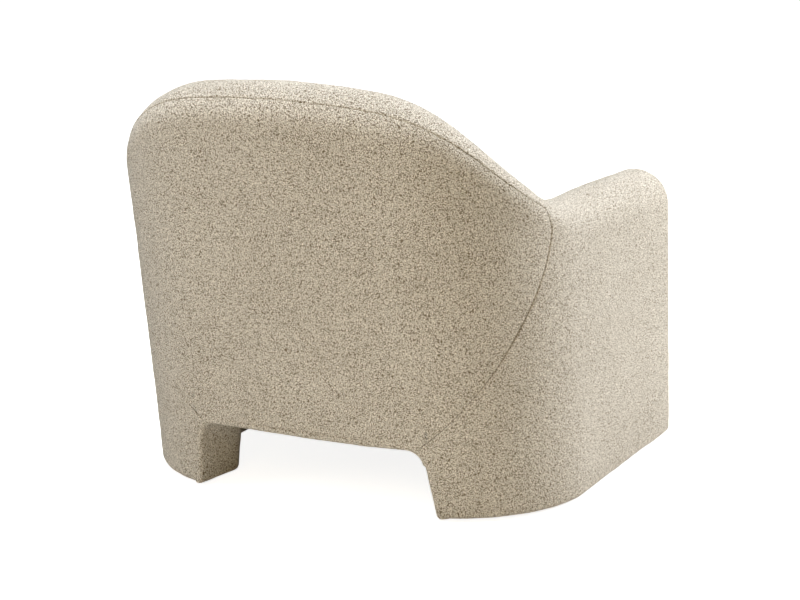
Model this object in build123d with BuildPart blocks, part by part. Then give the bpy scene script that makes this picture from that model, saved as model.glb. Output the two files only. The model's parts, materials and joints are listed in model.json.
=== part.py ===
"""Upholstered barrel armchair, built as the real one is: frame, springs, foam, covers and a loose cushion.

Units are millimetres and degrees. +Z is up, the chair faces -Y, and the origin lies on the floor under
the middle of the overall box. The padded wall runs along one plan outline, from the front of the left
arm (+X) round the back to the front of the right arm (-X). A place on the wall is given by its run
(the distance along the outline from the middle of the back), its inset (how far in from the outer face)
and its height.
"""
import os
from math import asin, cos, exp, pi, radians, sin, sqrt, tan

from build123d import *

# Overall form
overall_width = 800.0
overall_depth = 830.0
overall_height = 738.0
arm_height = 503.0
arm_wall = 120.0
back_wall = 130.0
corner_radius = 245.0
back_radius = 1470.0
back_rake = 10.2
front_lean = 4.5
front_round = 40.0
rise_run = 391.0
rise_softness = 79.0

# Arch under the back
arch_height = 127.0
arch_floor_half = 225.0
arch_top_half = 209.0
arch_round = 37.0
arch_skew = 30.0

# Seams of the back panel: a round line from the arch to the shoulder, then straight over the arm
seam_foot_half = 197.0
seam_middle = (333.0, 286.0)
seam_shoulder = (391.0, 490.0)
seam_shoulder_y = 195.0
seam_slant = 0.3
band_rear_angle = 38.0
band_front_angle = 35.0

# Layers of the padded wall
fabric = 3.0
wadding = 12.0
board = 3.0
inner_foam = 25.0
top_foam = 45.0
front_foam = 30.0
cover_lift = 5.0
foam_lift = 8.0
board_drop = 6.0
front_ease = 24.0

# Sections of the ruled lofts, per straight side, per corner and per half of the back
side_steps = 4
corner_steps = 10
back_steps = 4

# Frame stock and fits
ply = 18.0
post_width = 40.0
rib_width = 22.0
rail_thickness = 28.0
rail_height = 85.0
fit_gap = 0.3
loft_gap = 1.0
strap_thickness = 1.5
strap_width = 50.0
glide_height = 8.0
glide_radius = 14.0
glide_nail_radius = 2.0
glide_nail_length = 14.0

# Runs along the outline where frame pieces stand
rear_post_run = 262.0
rear_post_gap = 8.0
corner_rib_runs = (340.0, 420.0, 500.0)
back_rib_run = 118.0
strap_runs = (60.0, 178.0)
arm_plate_end_run = 486.0
top_rail_height = 632.0
stud_places = (-210.0, -75.0)
front_post_width = 60.0
bolt_inset = 22.0

# Arm bolts
bolt_radius = 4.0
bolt_hole_radius = 4.4
bolt_head_radius = 9.0
bolt_head_height = 5.0
nut_radius = 7.5
nut_height = 6.5
bolt_height = 190.0

# Front border, deck and springs
border_recess = 15.0
border_pad = 15.0
border_top = 236.0
border_top_round = 24.0
border_low_round = 9.0
border_lap = 10.0
spring_count = 5
spring_spacing = 78.0
spring_inset = 16.0
spring_wire = 4.0
spring_pitch = 30.0
spring_leg = 26.0
clip_sheet = 1.0
clip_width = 20.0
clip_length = 24.0
tie_rod_radius = 1.25
deck_cloth_thickness = 2.0
deck_gap = 3.0
dust_cloth = 1.2
block_leg = 70.0
block_height = 40.0
block_lift = 4.0
screw_radius = 2.0
screw_length = 38.0

# Seat cushion and its zip
cushion_side_gap = 3.0
cushion_front_recess = 8.0
cushion_rear_gap = 5.0
cushion_thickness = 165.0
cushion_crown = 24.0
cushion_front_round = 55.0
cushion_rear_round = 128.0
cushion_draw = 4.0
cushion_edge_round = 24.0
cushion_fabric = 2.5
zip_length = 250.0
zip_rise = 78.0
zip_slot = 12.0
zip_tape_width = 13.0
zip_tape_thickness = 0.8
zip_tooth_width = 1.8
zip_tooth_height = 2.2
zip_middle_gap = 1.4
zip_end_lap = 10.0
pocket_depth = 7.0
slider_length = 11.0
slider_width = 8.0
slider_plate = 1.0
slider_web = 0.6
pull_length = 22.0
pull_width = 6.0

# Worked-out sizes of the outline
half_width = overall_width / 2
rake = tan(radians(back_rake))
front_slope = tan(radians(front_lean))
front_y = -overall_depth / 2
roll_overhang = back_wall / 2 * (sqrt(1 + rake**2) - 1)
rear_y = overall_depth / 2 - rake * (overall_height - back_wall / 2) - roll_overhang
back_angle = asin((half_width - corner_radius) / (back_radius - corner_radius))
corner_y = rear_y - back_radius + (back_radius - corner_radius) * cos(back_angle)
back_run = back_radius * back_angle
corner_run = back_run + corner_radius * (pi / 2 - back_angle)
side_length = corner_y - front_y
front_run = corner_run + side_length

# Worked-out sizes of the layers
frame_in = fabric + wadding + board + loft_gap
foam_face = fabric + inner_foam
below_floor = -20.0
base_low = glide_height
base_top = base_low + ply
inside_x = half_width - arm_wall
rail_low = arch_height + fabric
rail_top = rail_low + rail_height
board_low = base_top
board_top_drop = top_foam + board_drop
plate_low = arm_height - top_foam - ply - 2 * fit_gap
border_y = front_y + border_recess
front_rail_y = border_y + fabric + border_pad
bolt_places = (front_rail_y + rail_thickness + bolt_inset, stud_places[-1])
far = 2 * overall_width
lean_way = (0, rake, 1)
lean_stretch = sqrt(1 + rake**2)


def rise_share(run):
    """Give how far the top line has climbed from arm to back, 0 to 1, as a logistic S-curve."""
    climb = 1 / (1 + exp((abs(run) - rise_run) / rise_softness))
    full = 1 / (1 + exp(-rise_run / rise_softness))
    return climb / full


def crest_height(run):
    """Give the height of the top line at a run."""
    return arm_height + (overall_height - arm_height) * rise_share(run)


def wall_at(run):
    """Give the wall's thickness at a run."""
    return arm_wall + (back_wall - arm_wall) * rise_share(run)


def outline_at(run):
    """Give x, y, the outward normal and the rearward lean per mm of height, at floor level."""
    distance = abs(run)
    side = 1 if run >= 0 else -1
    if distance <= back_run:
        turn = distance / back_radius
        x = back_radius * sin(turn)
        y = rear_y - back_radius + back_radius * cos(turn)
        lean = rake
    elif distance <= corner_run:
        turn = back_angle + (distance - back_run) / corner_radius
        x = half_width - corner_radius + corner_radius * sin(turn)
        y = corner_y + corner_radius * cos(turn)
        lean = rake
    else:
        turn = pi / 2
        x = half_width
        y = corner_y - (distance - corner_run)
        lean = rake + (front_slope - rake) * (distance - corner_run) / side_length
    return side * x, y, side * sin(turn), cos(turn), lean


def wall_point(run, inset, height):
    """Give the point of the wall at a run, an inset and a height."""
    x, y, nx, ny, lean = outline_at(run)
    return Vector(x - nx * inset, y - ny * inset + lean * height, height)


def section_plane(run):
    """Give the plane of the wall's cross-section, with x pointing inwards."""
    x, y, nx, ny, lean = outline_at(run)
    return Plane(origin=(x, y, 0), x_dir=(-nx, -ny, 0), z_dir=(-ny, nx, -nx * lean))


def section_face(run, corners, arcs=()):
    """Give a closed cross-section through (inset, height) corners; arcs pair an edge with its middle."""
    plane = section_plane(run)
    flat = [plane.to_local_coords(wall_point(run, *corner)) for corner in corners]
    bulges = {edge: plane.to_local_coords(wall_point(run, *middle)) for edge, middle in arcs}
    with BuildSketch(plane) as section:
        with BuildLine():
            for edge, start in enumerate(flat):
                end = flat[(edge + 1) % len(flat)]
                if edge in bulges:
                    ThreePointArc(start, bulges[edge], end)
                else:
                    Line(start, end)
        make_face()
    return section.sketch.face()


def roll_face(run, inset):
    """Give the wall's cross-section with a round top roll, taken in by an inset all round."""
    wall = wall_at(run)
    roll = wall / 2 - inset
    crest = crest_height(run) - inset
    shoulder = crest - roll
    slant = roll * sin(pi / 4)
    corners = [(inset, below_floor), (inset, shoulder), (wall / 2, crest)]
    corners += [(wall - inset, shoulder), (wall - inset, below_floor)]
    outer_bulge = (wall / 2 - slant, shoulder + slant)
    inner_bulge = (wall / 2 + slant, shoulder + slant)
    return section_face(run, corners, [(1, outer_bulge), (2, inner_bulge)])


def strip_face(run, outer, inner, low, high):
    """Give a plain four-sided cross-section of the wall."""
    return section_face(run, [(outer, low), (outer, high), (inner, high), (inner, low)])


def body_runs(first):
    """Give the runs of the loft's sections, from the left arm's front to the right arm's."""
    corner_step = (corner_run - back_run) / corner_steps
    back_step = back_run / back_steps
    runs = [first - (first - corner_run) * i / side_steps for i in range(side_steps)]
    runs += [corner_run - corner_step * i for i in range(corner_steps)]
    runs += [back_run - back_step * i for i in range(back_steps)]
    return runs + [0.0] + [-run for run in reversed(runs)]


def wall_solid(inset):
    """Loft the whole padded wall, taken in by an inset, with rounded arm fronts."""
    nose = front_round - inset
    ease = front_round + front_ease
    ends = []
    for turn in (0, 30, 60, 90):
        back_off = inset + nose * (1 - cos(radians(turn)))
        drawn_in = inset + nose * (1 - sin(radians(turn)))
        ends.append((front_run - back_off, drawn_in))
    middle = [(run, inset) for run in body_runs(front_run - ease)]
    faces = [roll_face(run, drawn) for run, drawn in ends + middle]
    faces += [roll_face(-run, drawn) for run, drawn in reversed(ends)]
    with BuildPart() as wall:
        loft(sections=faces, ruled=True)
    return wall.part


def strip_solid(outer, inner_from_inside, low, top_drop, first):
    """Loft a strip of the wall between two insets, the second one counted from the inner face."""
    faces = []
    for run in body_runs(first):
        inner = wall_at(run) - inner_from_inside
        faces.append(strip_face(run, outer, inner, low, crest_height(run) - top_drop))
    with BuildPart() as strip:
        loft(sections=faces, ruled=True)
    return strip.part


def outline_edges(inset, start, end, height):
    """Draw the outline at an inset and a height from one run to another, as lines and arcs."""
    breaks = [-corner_run, -back_run, back_run, corner_run]
    low, high = min(start, end), max(start, end)
    stops = [low] + [stop for stop in breaks if low < stop < high] + [high]
    if start > end:
        stops.reverse()
    for one, two in zip(stops, stops[1:]):
        here = wall_point(one, inset, height)
        there = wall_point(two, inset, height)
        if min(abs(one), abs(two)) >= corner_run:
            Line((here.X, here.Y), (there.X, there.Y))
        else:
            middle = wall_point((one + two) / 2, inset, height)
            ThreePointArc((here.X, here.Y), (middle.X, middle.Y), (there.X, there.Y))


def band_face(outer, inner, start, end, height):
    """Give a level band of the wall between two insets and two runs."""
    with BuildSketch(Plane.XY.offset(height)) as band:
        with BuildLine():
            outline_edges(outer, start, end, height)
            first = wall_point(end, outer, height)
            second = wall_point(end, inner, height)
            Line((first.X, first.Y), (second.X, second.Y))
            outline_edges(inner, end, start, height)
            third = wall_point(start, inner, height)
            fourth = wall_point(start, outer, height)
            Line((third.X, third.Y), (fourth.X, fourth.Y))
        make_face()
    return band.sketch


def leaning_box(run, outer, inner, width, low, high):
    """Make an upright that follows the wall's lean, between two insets and two heights."""
    x, y, nx, ny, lean = outline_at(run)
    foot = wall_point(run, (outer + inner) / 2, low)
    length = (high - low) * sqrt(1 + lean**2)
    with BuildPart() as upright:
        with BuildSketch(Plane(origin=foot, x_dir=(nx, ny, 0), z_dir=(0, 0, 1))):
            Rectangle(inner - outer, width)
        extrude(amount=length, dir=(0, lean, 1))
    return upright.part


def arch_face(grow, narrow):
    """Give the arch's opening, grown by a skin and narrowed at the inner side of the wall."""
    floor_half = arch_floor_half + grow - narrow
    top_half = arch_top_half + grow - narrow
    top = arch_height + grow
    slope = (floor_half - top_half) / top
    low_half = floor_half - slope * below_floor
    with BuildSketch(Plane.XZ.offset(-rear_y if narrow == 0 else back_wall - rear_y)) as opening:
        with BuildLine():
            Polyline(
                (-low_half, below_floor),
                (-top_half, top),
                (top_half, top),
                (low_half, below_floor),
                close=True,
            )
        make_face()
        fillet(opening.vertices().group_by(Axis.Y)[-1], arch_round + grow)
    return opening.sketch.face()


def arch_solid(grow):
    """Make the arch that is cut under the back, from behind the wall to inside it."""
    with BuildPart() as arch:
        add(loft(sections=[arch_face(grow, 0), arch_face(grow, arch_skew)], ruled=True, mode=Mode.PRIVATE))
        extrude(arch.faces().sort_by(Axis.Y)[-1], amount=back_wall)
        extrude(arch.faces().sort_by(Axis.Y)[0], amount=back_wall)
    return arch.part


def floor_slab(top):
    """Make a slab that fills everything below a height."""
    with BuildPart() as slab:
        with BuildSketch(Plane.XY.offset(top)):
            Rectangle(far, far)
        extrude(amount=-overall_width)
    return slab.part


def bolt_holes(radius):
    """Make the through-holes of the arm bolts, along X."""
    with BuildPart() as holes:
        for place in bolt_places:
            with BuildSketch(Plane.YZ):
                with Locations((place, bolt_height)):
                    Circle(radius)
        extrude(amount=half_width - frame_in, both=True)
    return holes.part


def side_of(solids, left):
    """Pick the left (+X) or right (-X) solid."""
    return solids.sort_by(Axis.X)[-1 if left else 0]


# Zone of the back panel, bounded by the two seams
inside_seam_y = seam_shoulder_y - seam_slant * (seam_shoulder[0] - inside_x)
outside_seam_y = seam_shoulder_y + seam_slant * (half_width + back_wall - seam_shoulder[0])
with BuildPart() as back_zone:
    with BuildSketch(Plane.XZ.offset(-overall_depth)):
        with BuildLine():
            ThreePointArc((seam_foot_half, arch_height), seam_middle, seam_shoulder)
            Line(seam_shoulder, (seam_shoulder[0], overall_width))
            Line((seam_shoulder[0], overall_width), (-seam_shoulder[0], overall_width))
            Line((-seam_shoulder[0], overall_width), (-seam_shoulder[0], seam_shoulder[1]))
            ThreePointArc(
                (-seam_shoulder[0], seam_shoulder[1]),
                (-seam_middle[0], seam_middle[1]),
                (-seam_foot_half, arch_height),
            )
            Line((-seam_foot_half, arch_height), (seam_foot_half, arch_height))
        make_face()
    extrude(amount=2 * overall_depth)
    with BuildSketch(Plane.XY) as behind:
        with BuildLine():
            Polyline(
                (half_width + back_wall, outside_seam_y),
                (inside_x, inside_seam_y),
                (-inside_x, inside_seam_y),
                (-half_width - back_wall, outside_seam_y),
                (-half_width - back_wall, overall_depth),
                (half_width + back_wall, overall_depth),
                close=True,
            )
        make_face()
    extrude(amount=overall_width, mode=Mode.INTERSECT)

# Wedge that the band over the top roll takes out of the back cover
band_faces = []
for band_run in body_runs(corner_run + arm_wall):
    middle_in = wall_at(band_run) / 2
    roll_low = crest_height(band_run) - middle_in
    rear_reach = back_wall * cos(radians(band_rear_angle))
    rear_lift = back_wall * sin(radians(band_rear_angle))
    front_reach = back_wall * cos(radians(band_front_angle))
    front_lift = back_wall * sin(radians(band_front_angle))
    wedge = [(middle_in, roll_low), (middle_in - rear_reach, roll_low + rear_lift)]
    wedge += [(middle_in - rear_reach, roll_low + 2 * back_wall)]
    wedge += [(middle_in + front_reach, roll_low + 2 * back_wall)]
    wedge += [(middle_in + front_reach, roll_low + front_lift)]
    band_faces.append(section_face(band_run, wedge))
with BuildPart() as band_wedge:
    loft(sections=band_faces, ruled=True)

# Padded wall: the cover's skin and the foam inside it
wall_outside = wall_solid(0)
wall_inside = wall_solid(fabric)
arch = arch_solid(0)
arch_lined = arch_solid(fabric)
frame_space = strip_solid(fabric + wadding, foam_face, below_floor, top_foam, front_run - front_foam)

with BuildPart() as cavity:
    add(wall_inside)
    add(arch_lined, mode=Mode.SUBTRACT)

with BuildPart() as skin:
    add(wall_outside)
    add(floor_slab(cover_lift), mode=Mode.SUBTRACT)
    add(arch, mode=Mode.SUBTRACT)
    add(cavity.part, mode=Mode.SUBTRACT)

with BuildPart() as padding:
    add(cavity.part)
    add(floor_slab(foam_lift), mode=Mode.SUBTRACT)
    add(frame_space, mode=Mode.SUBTRACT)

with BuildPart() as liner:
    runs = body_runs(front_run - front_foam)
    loft(
        sections=[
            strip_face(
                run,
                fabric + wadding,
                fabric + wadding + board,
                board_low,
                crest_height(run) - board_top_drop,
            )
            for run in runs
        ],
        ruled=True,
    )
    add(arch_solid(fabric + wadding), mode=Mode.SUBTRACT)

# Covers of the arms, foam and boards, left and right
with BuildPart() as arm_skins:
    add(skin.part)
    add(back_zone.part, mode=Mode.SUBTRACT)
    add(bolt_holes(bolt_hole_radius), mode=Mode.SUBTRACT)

with BuildPart() as arm_foams:
    add(padding.part)
    add(back_zone.part, mode=Mode.SUBTRACT)
    add(bolt_holes(bolt_hole_radius), mode=Mode.SUBTRACT)

with BuildPart() as arm_boards:
    add(liner.part)
    add(back_zone.part, mode=Mode.SUBTRACT)

with BuildPart() as arm_cover_left:
    add(side_of(arm_skins.solids(), True))

with BuildPart() as arm_cover_right:
    add(side_of(arm_skins.solids(), False))

with BuildPart() as arm_foam_left:
    add(side_of(arm_foams.solids(), True))

with BuildPart() as arm_foam_right:
    add(side_of(arm_foams.solids(), False))

with BuildPart() as arm_board_left:
    add(side_of(arm_boards.solids(), True))

with BuildPart() as arm_board_right:
    add(side_of(arm_boards.solids(), False))

# Covers, foam and board of the back
with BuildPart() as back_skin:
    add(skin.part)
    add(back_zone.part, mode=Mode.INTERSECT)

with BuildPart() as back_top_band:
    add(back_skin.part)
    add(band_wedge.part, mode=Mode.INTERSECT)

with BuildPart() as back_panels:
    add(back_skin.part)
    add(band_wedge.part, mode=Mode.SUBTRACT)

with BuildPart() as panel_legs:
    add(back_panels.part)
    add(floor_slab(rail_low), mode=Mode.SUBTRACT)

with BuildPart() as inside_back_cover:
    add(panel_legs.solids().sort_by(Axis.Y)[0])

with BuildPart() as outside_back_cover:
    add(back_panels.part)
    add(floor_slab(rail_low), mode=Mode.INTERSECT)
    add(panel_legs.solids().sort_by(Axis.Y)[-1])

with BuildPart() as back_foam:
    add(padding.part)
    add(back_zone.part, mode=Mode.INTERSECT)

with BuildPart() as back_board:
    add(liner.part)
    add(back_zone.part, mode=Mode.INTERSECT)

# Frame of the arm slabs
arm_frame_inner = arm_wall - foam_face - strap_thickness
back_frame_inner = wall_at(rear_post_run) - foam_face - strap_thickness - loft_gap
frame_front_run = front_run - front_foam - loft_gap
base_end_run = rear_post_run - rib_width / 2
post_x = half_width - (frame_in + arm_frame_inner) / 2
post_depth = arm_frame_inner - frame_in
front_post_lean = outline_at(frame_front_run)[-1]
front_post_y = front_y + front_foam + front_post_lean * plate_low + front_post_width / 2 + loft_gap


def glide_spots(side):
    """Give the plan places of the glides under one slab."""
    spots = []
    runs = (frame_front_run - post_width, corner_run + side_length / 3)
    runs += (corner_run - post_width, rear_post_run + rib_width)
    for run in runs:
        spot = wall_point(side * run, (frame_in + arm_frame_inner) / 2, base_low)
        spots.append((spot.X, spot.Y))
    return spots


def base_plate(side):
    """Make the plywood shoe plate of one slab, drilled for the glide nails."""
    with BuildPart() as plate:
        add(band_face(frame_in, arm_frame_inner, side * frame_front_run, side * base_end_run, base_low))
        extrude(amount=ply * lean_stretch, dir=lean_way)
        with BuildSketch(Plane.XY.offset(base_low)):
            with Locations(*glide_spots(side)):
                Circle(glide_nail_radius)
        extrude(amount=glide_nail_length, mode=Mode.SUBTRACT)
    return plate.part


def arm_top_plate(side):
    """Make the plywood plate under the arm's top roll."""
    with BuildPart() as plate:
        start = side * frame_front_run
        end = side * arm_plate_end_run
        add(band_face(frame_in, arm_frame_inner, start, end, plate_low))
        extrude(amount=ply * lean_stretch, dir=lean_way)
    return plate.part


def arm_upright(side, places, width):
    """Make upright studs of one slab, between the base plate and the top plate, drilled for the bolts."""
    with BuildPart() as studs:
        with BuildSketch(Plane.XY.offset(base_top + fit_gap)):
            with Locations(*[(side * post_x, place) for place in places]):
                Rectangle(post_depth, width)
        extrude(amount=plate_low - base_top - 2 * fit_gap)
        add(bolt_holes(bolt_hole_radius), mode=Mode.SUBTRACT)
        for place in bolt_places:
            with BuildSketch(Plane.YZ.offset(side * (half_width - frame_in))):
                with Locations((place, bolt_height)):
                    Circle(bolt_head_radius + fit_gap)
            extrude(amount=-side * (bolt_head_height + fit_gap), mode=Mode.SUBTRACT)
    return studs.part


def corner_ribs(side):
    """Make the leaning ribs of one rear corner."""
    with BuildPart() as ribs:
        for run in corner_rib_runs:
            high = crest_height(run + rib_width) - top_foam - loft_gap
            if run > arm_plate_end_run:
                high = plate_low - fit_gap
            inner = wall_at(run + rib_width) - foam_face - strap_thickness - loft_gap
            add(leaning_box(side * run, frame_in, inner, rib_width, base_top + fit_gap, high))
    return ribs.part


def rear_post(side):
    """Make the leaning post at the end of one rear foot."""
    inner = wall_at(rear_post_run + rib_width) - foam_face - strap_thickness - loft_gap
    high = top_rail_height - fit_gap
    return leaning_box(side * rear_post_run, frame_in, inner, rib_width, base_top + fit_gap, high)


with BuildPart() as base_plate_left:
    add(base_plate(1))

with BuildPart() as base_plate_right:
    add(base_plate(-1))

with BuildPart() as arm_top_plate_left:
    add(arm_top_plate(1))

with BuildPart() as arm_top_plate_right:
    add(arm_top_plate(-1))

with BuildPart() as arm_front_post_left:
    add(arm_upright(1, [front_post_y], front_post_width))

with BuildPart() as arm_front_post_right:
    add(arm_upright(-1, [front_post_y], front_post_width))

with BuildPart() as arm_studs_left:
    add(arm_upright(1, stud_places, post_width))

with BuildPart() as arm_studs_right:
    add(arm_upright(-1, stud_places, post_width))

with BuildPart() as corner_ribs_left:
    add(corner_ribs(1))

with BuildPart() as corner_ribs_right:
    add(corner_ribs(-1))

with BuildPart() as rear_post_left:
    add(rear_post(1))

with BuildPart() as rear_post_right:
    add(rear_post(-1))

# Frame of the back
lower_rail_end_run = rear_post_run - rib_width / 2 - rear_post_gap
lower_rail_low = rail_low + fit_gap
top_rail_end_run = rear_post_run + rib_width / 2

with BuildPart() as back_lower_rail:
    add(band_face(frame_in, back_frame_inner, lower_rail_end_run, -lower_rail_end_run, lower_rail_low))
    extrude(amount=ply * lean_stretch, dir=lean_way)

with BuildPart() as back_top_rail:
    add(band_face(frame_in, back_frame_inner, top_rail_end_run, -top_rail_end_run, top_rail_height))
    extrude(amount=ply * lean_stretch, dir=lean_way)

with BuildPart() as back_ribs:
    for rib_run in (-back_rib_run, 0.0, back_rib_run):
        rib_low = lower_rail_low + ply + fit_gap
        add(leaning_box(rib_run, frame_in, back_frame_inner, rib_width, rib_low, top_rail_height - fit_gap))

with BuildPart() as back_webbing:
    for strap_run in strap_runs:
        for strap_side in (1, -1):
            strap_out = wall_at(strap_run) - foam_face - strap_thickness - fit_gap / 2
            strap_in = strap_out + strap_thickness
            strap_high = top_rail_height + ply
            place = strap_side * strap_run
            add(leaning_box(place, strap_out, strap_in, strap_width, lower_rail_low, strap_high))

# Seat frame
rail_x = half_width - wall_at(corner_run) - fit_gap
rear_rail_half = corner_radius - back_wall + 2 * rail_thickness
inner_back_radius = back_radius - back_wall
rear_rail_sag = inner_back_radius - sqrt(inner_back_radius**2 - rear_rail_half**2)
rear_rail_y = rear_y + rake * rail_low - back_wall - rear_rail_sag - loft_gap
side_rail_end = corner_y - rail_thickness

with BuildPart() as seat_front_rail:
    with BuildSketch(Plane.XY.offset(rail_low)):
        with Locations((0, front_rail_y + rail_thickness / 2)):
            Rectangle(2 * rail_x, rail_thickness)
    extrude(amount=rail_height)

with BuildPart() as seat_rear_rail:
    with BuildSketch(Plane.XY.offset(rail_low)):
        with Locations((0, rear_rail_y - rail_thickness / 2)):
            Rectangle(2 * rear_rail_half, rail_thickness)
    extrude(amount=rail_height)


def side_rail(side):
    """Make one side rail of the seat, drilled for the arm bolts."""
    with BuildPart() as rail:
        with BuildSketch(Plane.XY.offset(rail_low)):
            length = side_rail_end - front_rail_y - rail_thickness
            with Locations((side * (rail_x - rail_thickness / 2), side_rail_end - length / 2)):
                Rectangle(rail_thickness, length)
        extrude(amount=rail_height)
        add(bolt_holes(bolt_hole_radius), mode=Mode.SUBTRACT)
    return rail.part


def corner_rail(side):
    """Make the slanted rail between one side rail and the rear rail."""
    with BuildPart() as rail:
        with BuildSketch(Plane.XY.offset(rail_low)):
            with BuildLine():
                Polyline(
                    (side * rail_x, side_rail_end),
                    (side * rear_rail_half, rear_rail_y),
                    (side * rear_rail_half, rear_rail_y - rail_thickness),
                    (side * (rail_x - rail_thickness), side_rail_end),
                    close=True,
                )
            make_face()
        extrude(amount=rail_height)
    return rail.part


with BuildPart() as seat_side_rail_left:
    add(side_rail(1))

with BuildPart() as seat_side_rail_right:
    add(side_rail(-1))

with BuildPart() as seat_corner_rail_left:
    add(corner_rail(1))

with BuildPart() as seat_corner_rail_right:
    add(corner_rail(-1))

# Front corner blocks and their screws
block_y = front_rail_y + rail_thickness
block_x = rail_x - rail_thickness
block_low = rail_low + block_lift
screw_spots = [(side, share) for side in (1, -1) for share in (1, 3)]

with BuildPart() as block_screws:
    for screw_side, screw_share in screw_spots:
        with BuildSketch(Plane.XZ.offset(-block_y - block_leg / 4)):
            screw_x = screw_side * (block_x - block_leg / 2)
            with Locations((screw_x, block_low + block_height * screw_share / 4)):
                Circle(screw_radius)
    extrude(amount=screw_length)

with BuildPart() as seat_corner_blocks:
    with BuildSketch(Plane.XY.offset(block_low)):
        for block_side in (1, -1):
            with BuildLine():
                Polyline(
                    (block_side * block_x, block_y),
                    (block_side * (block_x - block_leg), block_y),
                    (block_side * block_x, block_y + block_leg),
                    close=True,
                )
            make_face()
    extrude(amount=block_height)
    add(block_screws.part, mode=Mode.SUBTRACT)

with BuildPart() as seat_front_rail_drilled:
    add(seat_front_rail.part)
    add(block_screws.part, mode=Mode.SUBTRACT)

# Arm bolts and nuts
bolt_end_x = rail_x - rail_thickness - nut_height - fit_gap
bolt_head_x = half_width - frame_in - bolt_head_height

with BuildPart() as arm_bolts:
    for bolt_side in (1, -1):
        for bolt_y in bolt_places:
            head_spot = (bolt_side * bolt_head_x, bolt_y, bolt_height)
            bolt_plane = Plane(origin=head_spot, z_dir=(bolt_side, 0, 0))
            with BuildSketch(bolt_plane):
                Circle(bolt_head_radius)
            extrude(amount=bolt_head_height)
            with BuildSketch(bolt_plane):
                Circle(bolt_radius)
            extrude(amount=bolt_end_x - bolt_head_x)

with BuildPart() as arm_nuts:
    for nut_side in (1, -1):
        for nut_y in bolt_places:
            nut_x = nut_side * (rail_x - rail_thickness)
            with BuildSketch(Plane(origin=(nut_x, nut_y, bolt_height), z_dir=(-nut_side, 0, 0))):
                RegularPolygon(nut_radius, 6)
                Circle(bolt_radius, mode=Mode.SUBTRACT)
            extrude(amount=nut_height)

# Glides
with BuildPart() as glides:
    for glide_side in (1, -1):
        with BuildSketch(Plane.XY):
            with Locations(*glide_spots(glide_side)):
                Circle(glide_radius)
    extrude(amount=glide_height)
    for glide_side in (1, -1):
        with BuildSketch(Plane.XY.offset(glide_height)):
            with Locations(*glide_spots(glide_side)):
                Circle(glide_nail_radius)
    extrude(amount=glide_nail_length)

# Front border
border_length = 2 * (inside_x - fit_gap)
border_end_y = front_rail_y + border_lap


def border_profile(inset):
    """Draw the border's side profile, taken in by an inset, with round front edges."""
    with BuildSketch(Plane.YZ) as profile:
        with BuildLine():
            Polyline(
                (border_y + inset, arch_height + inset),
                (border_y + inset, border_top - inset),
                (border_end_y, border_top - inset),
                (border_end_y, arch_height + inset),
                close=True,
            )
        make_face()
        fillet(profile.vertices().group_by(Axis.Y)[-1].sort_by(Axis.X)[0], border_top_round - inset)
        fillet(profile.vertices().group_by(Axis.Y)[0].sort_by(Axis.X)[0], border_low_round - inset)
    return profile.sketch


with BuildSketch(Plane.YZ) as rail_space:
    with Locations((front_rail_y + rail_thickness / 2, (rail_low + rail_top) / 2)):
        Rectangle(rail_thickness, rail_height)

border_shell_face = border_profile(0) - border_profile(fabric)
border_pad_face = border_profile(fabric) - rail_space.sketch

with BuildPart() as front_border_cover:
    extrude(border_shell_face, amount=border_length / 2, both=True)

with BuildPart() as front_border_pad:
    extrude(border_pad_face, amount=border_length / 2, both=True)

# Seat springs, clips and tie rods
clip_slack = fit_gap / 10
spring_centre = rail_top + clip_sheet + clip_slack + spring_wire / 2
spring_front = front_rail_y + spring_inset
spring_rear = rear_rail_y - rail_thickness / 2
spring_turns = 2 * round((spring_rear - spring_front) / spring_pitch / 2)
spring_step = (spring_rear - spring_front) / spring_turns
spring_lanes = [(i - (spring_count - 1) / 2) * spring_spacing for i in range(spring_count)]


def spring_path(lane):
    """Draw one sinuous spring: straight legs across, joined by half turns of two quarter arcs."""
    bend = spring_step / 2
    slant = bend * sin(pi / 4)
    with BuildLine(Plane.XY.offset(spring_centre)) as path:
        for turn in range(spring_turns + 1):
            way = 1 if turn % 2 else -1
            y = spring_front + turn * spring_step
            edge = lane - way * spring_leg / 2
            Line((lane + way * spring_leg / 2, y), (edge, y))
            if turn < spring_turns:
                reach = edge - way * bend
                first = (edge - way * slant, y + bend - slant)
                second = (edge - way * slant, y + bend + slant)
                ThreePointArc((edge, y), first, (reach, y + bend))
                ThreePointArc((reach, y + bend), second, (edge, y + spring_step))
    return path.wire()


with BuildPart() as seat_springs:
    for spring_lane in spring_lanes:
        wire_path = spring_path(spring_lane)
        with BuildSketch(Plane(origin=wire_path @ 0, z_dir=wire_path % 0)):
            Circle(spring_wire / 2)
        sweep(path=wire_path)
print("least gap between spring legs, mm:", round(spring_step - spring_wire, 2))

clip_inside = spring_wire + 2 * clip_slack
clip_top = spring_centre + clip_inside / 2 + clip_sheet
with BuildPart() as spring_clips:
    for clip_lane in spring_lanes:
        with BuildSketch(Plane.YZ.offset(clip_lane - clip_width / 2)):
            for clip_y, clip_way in ((spring_front, 1), (spring_rear, -1)):
                bend_y = clip_y - clip_way * (spring_wire / 2 + clip_sheet + clip_slack)
                with Locations((bend_y + clip_way * clip_length / 2, spring_centre)):
                    Rectangle(clip_length, clip_inside + 2 * clip_sheet)
                with Locations((bend_y + clip_way * (clip_length / 2 + clip_sheet), spring_centre)):
                    Rectangle(clip_length, clip_inside, mode=Mode.SUBTRACT)
    extrude(amount=clip_width)

rod_length = (spring_count - 1) * spring_spacing + 2 * spring_leg
rod_height = spring_centre - spring_wire / 2 - tie_rod_radius
rod_places = [spring_front + spring_step * round(spring_turns * share) for share in (1 / 3, 2 / 3)]
with BuildPart() as spring_tie_rods:
    with BuildSketch(Plane.YZ):
        with Locations(*[(place, rod_height) for place in rod_places]):
            Circle(tie_rod_radius)
    extrude(amount=rod_length / 2, both=True)


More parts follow.
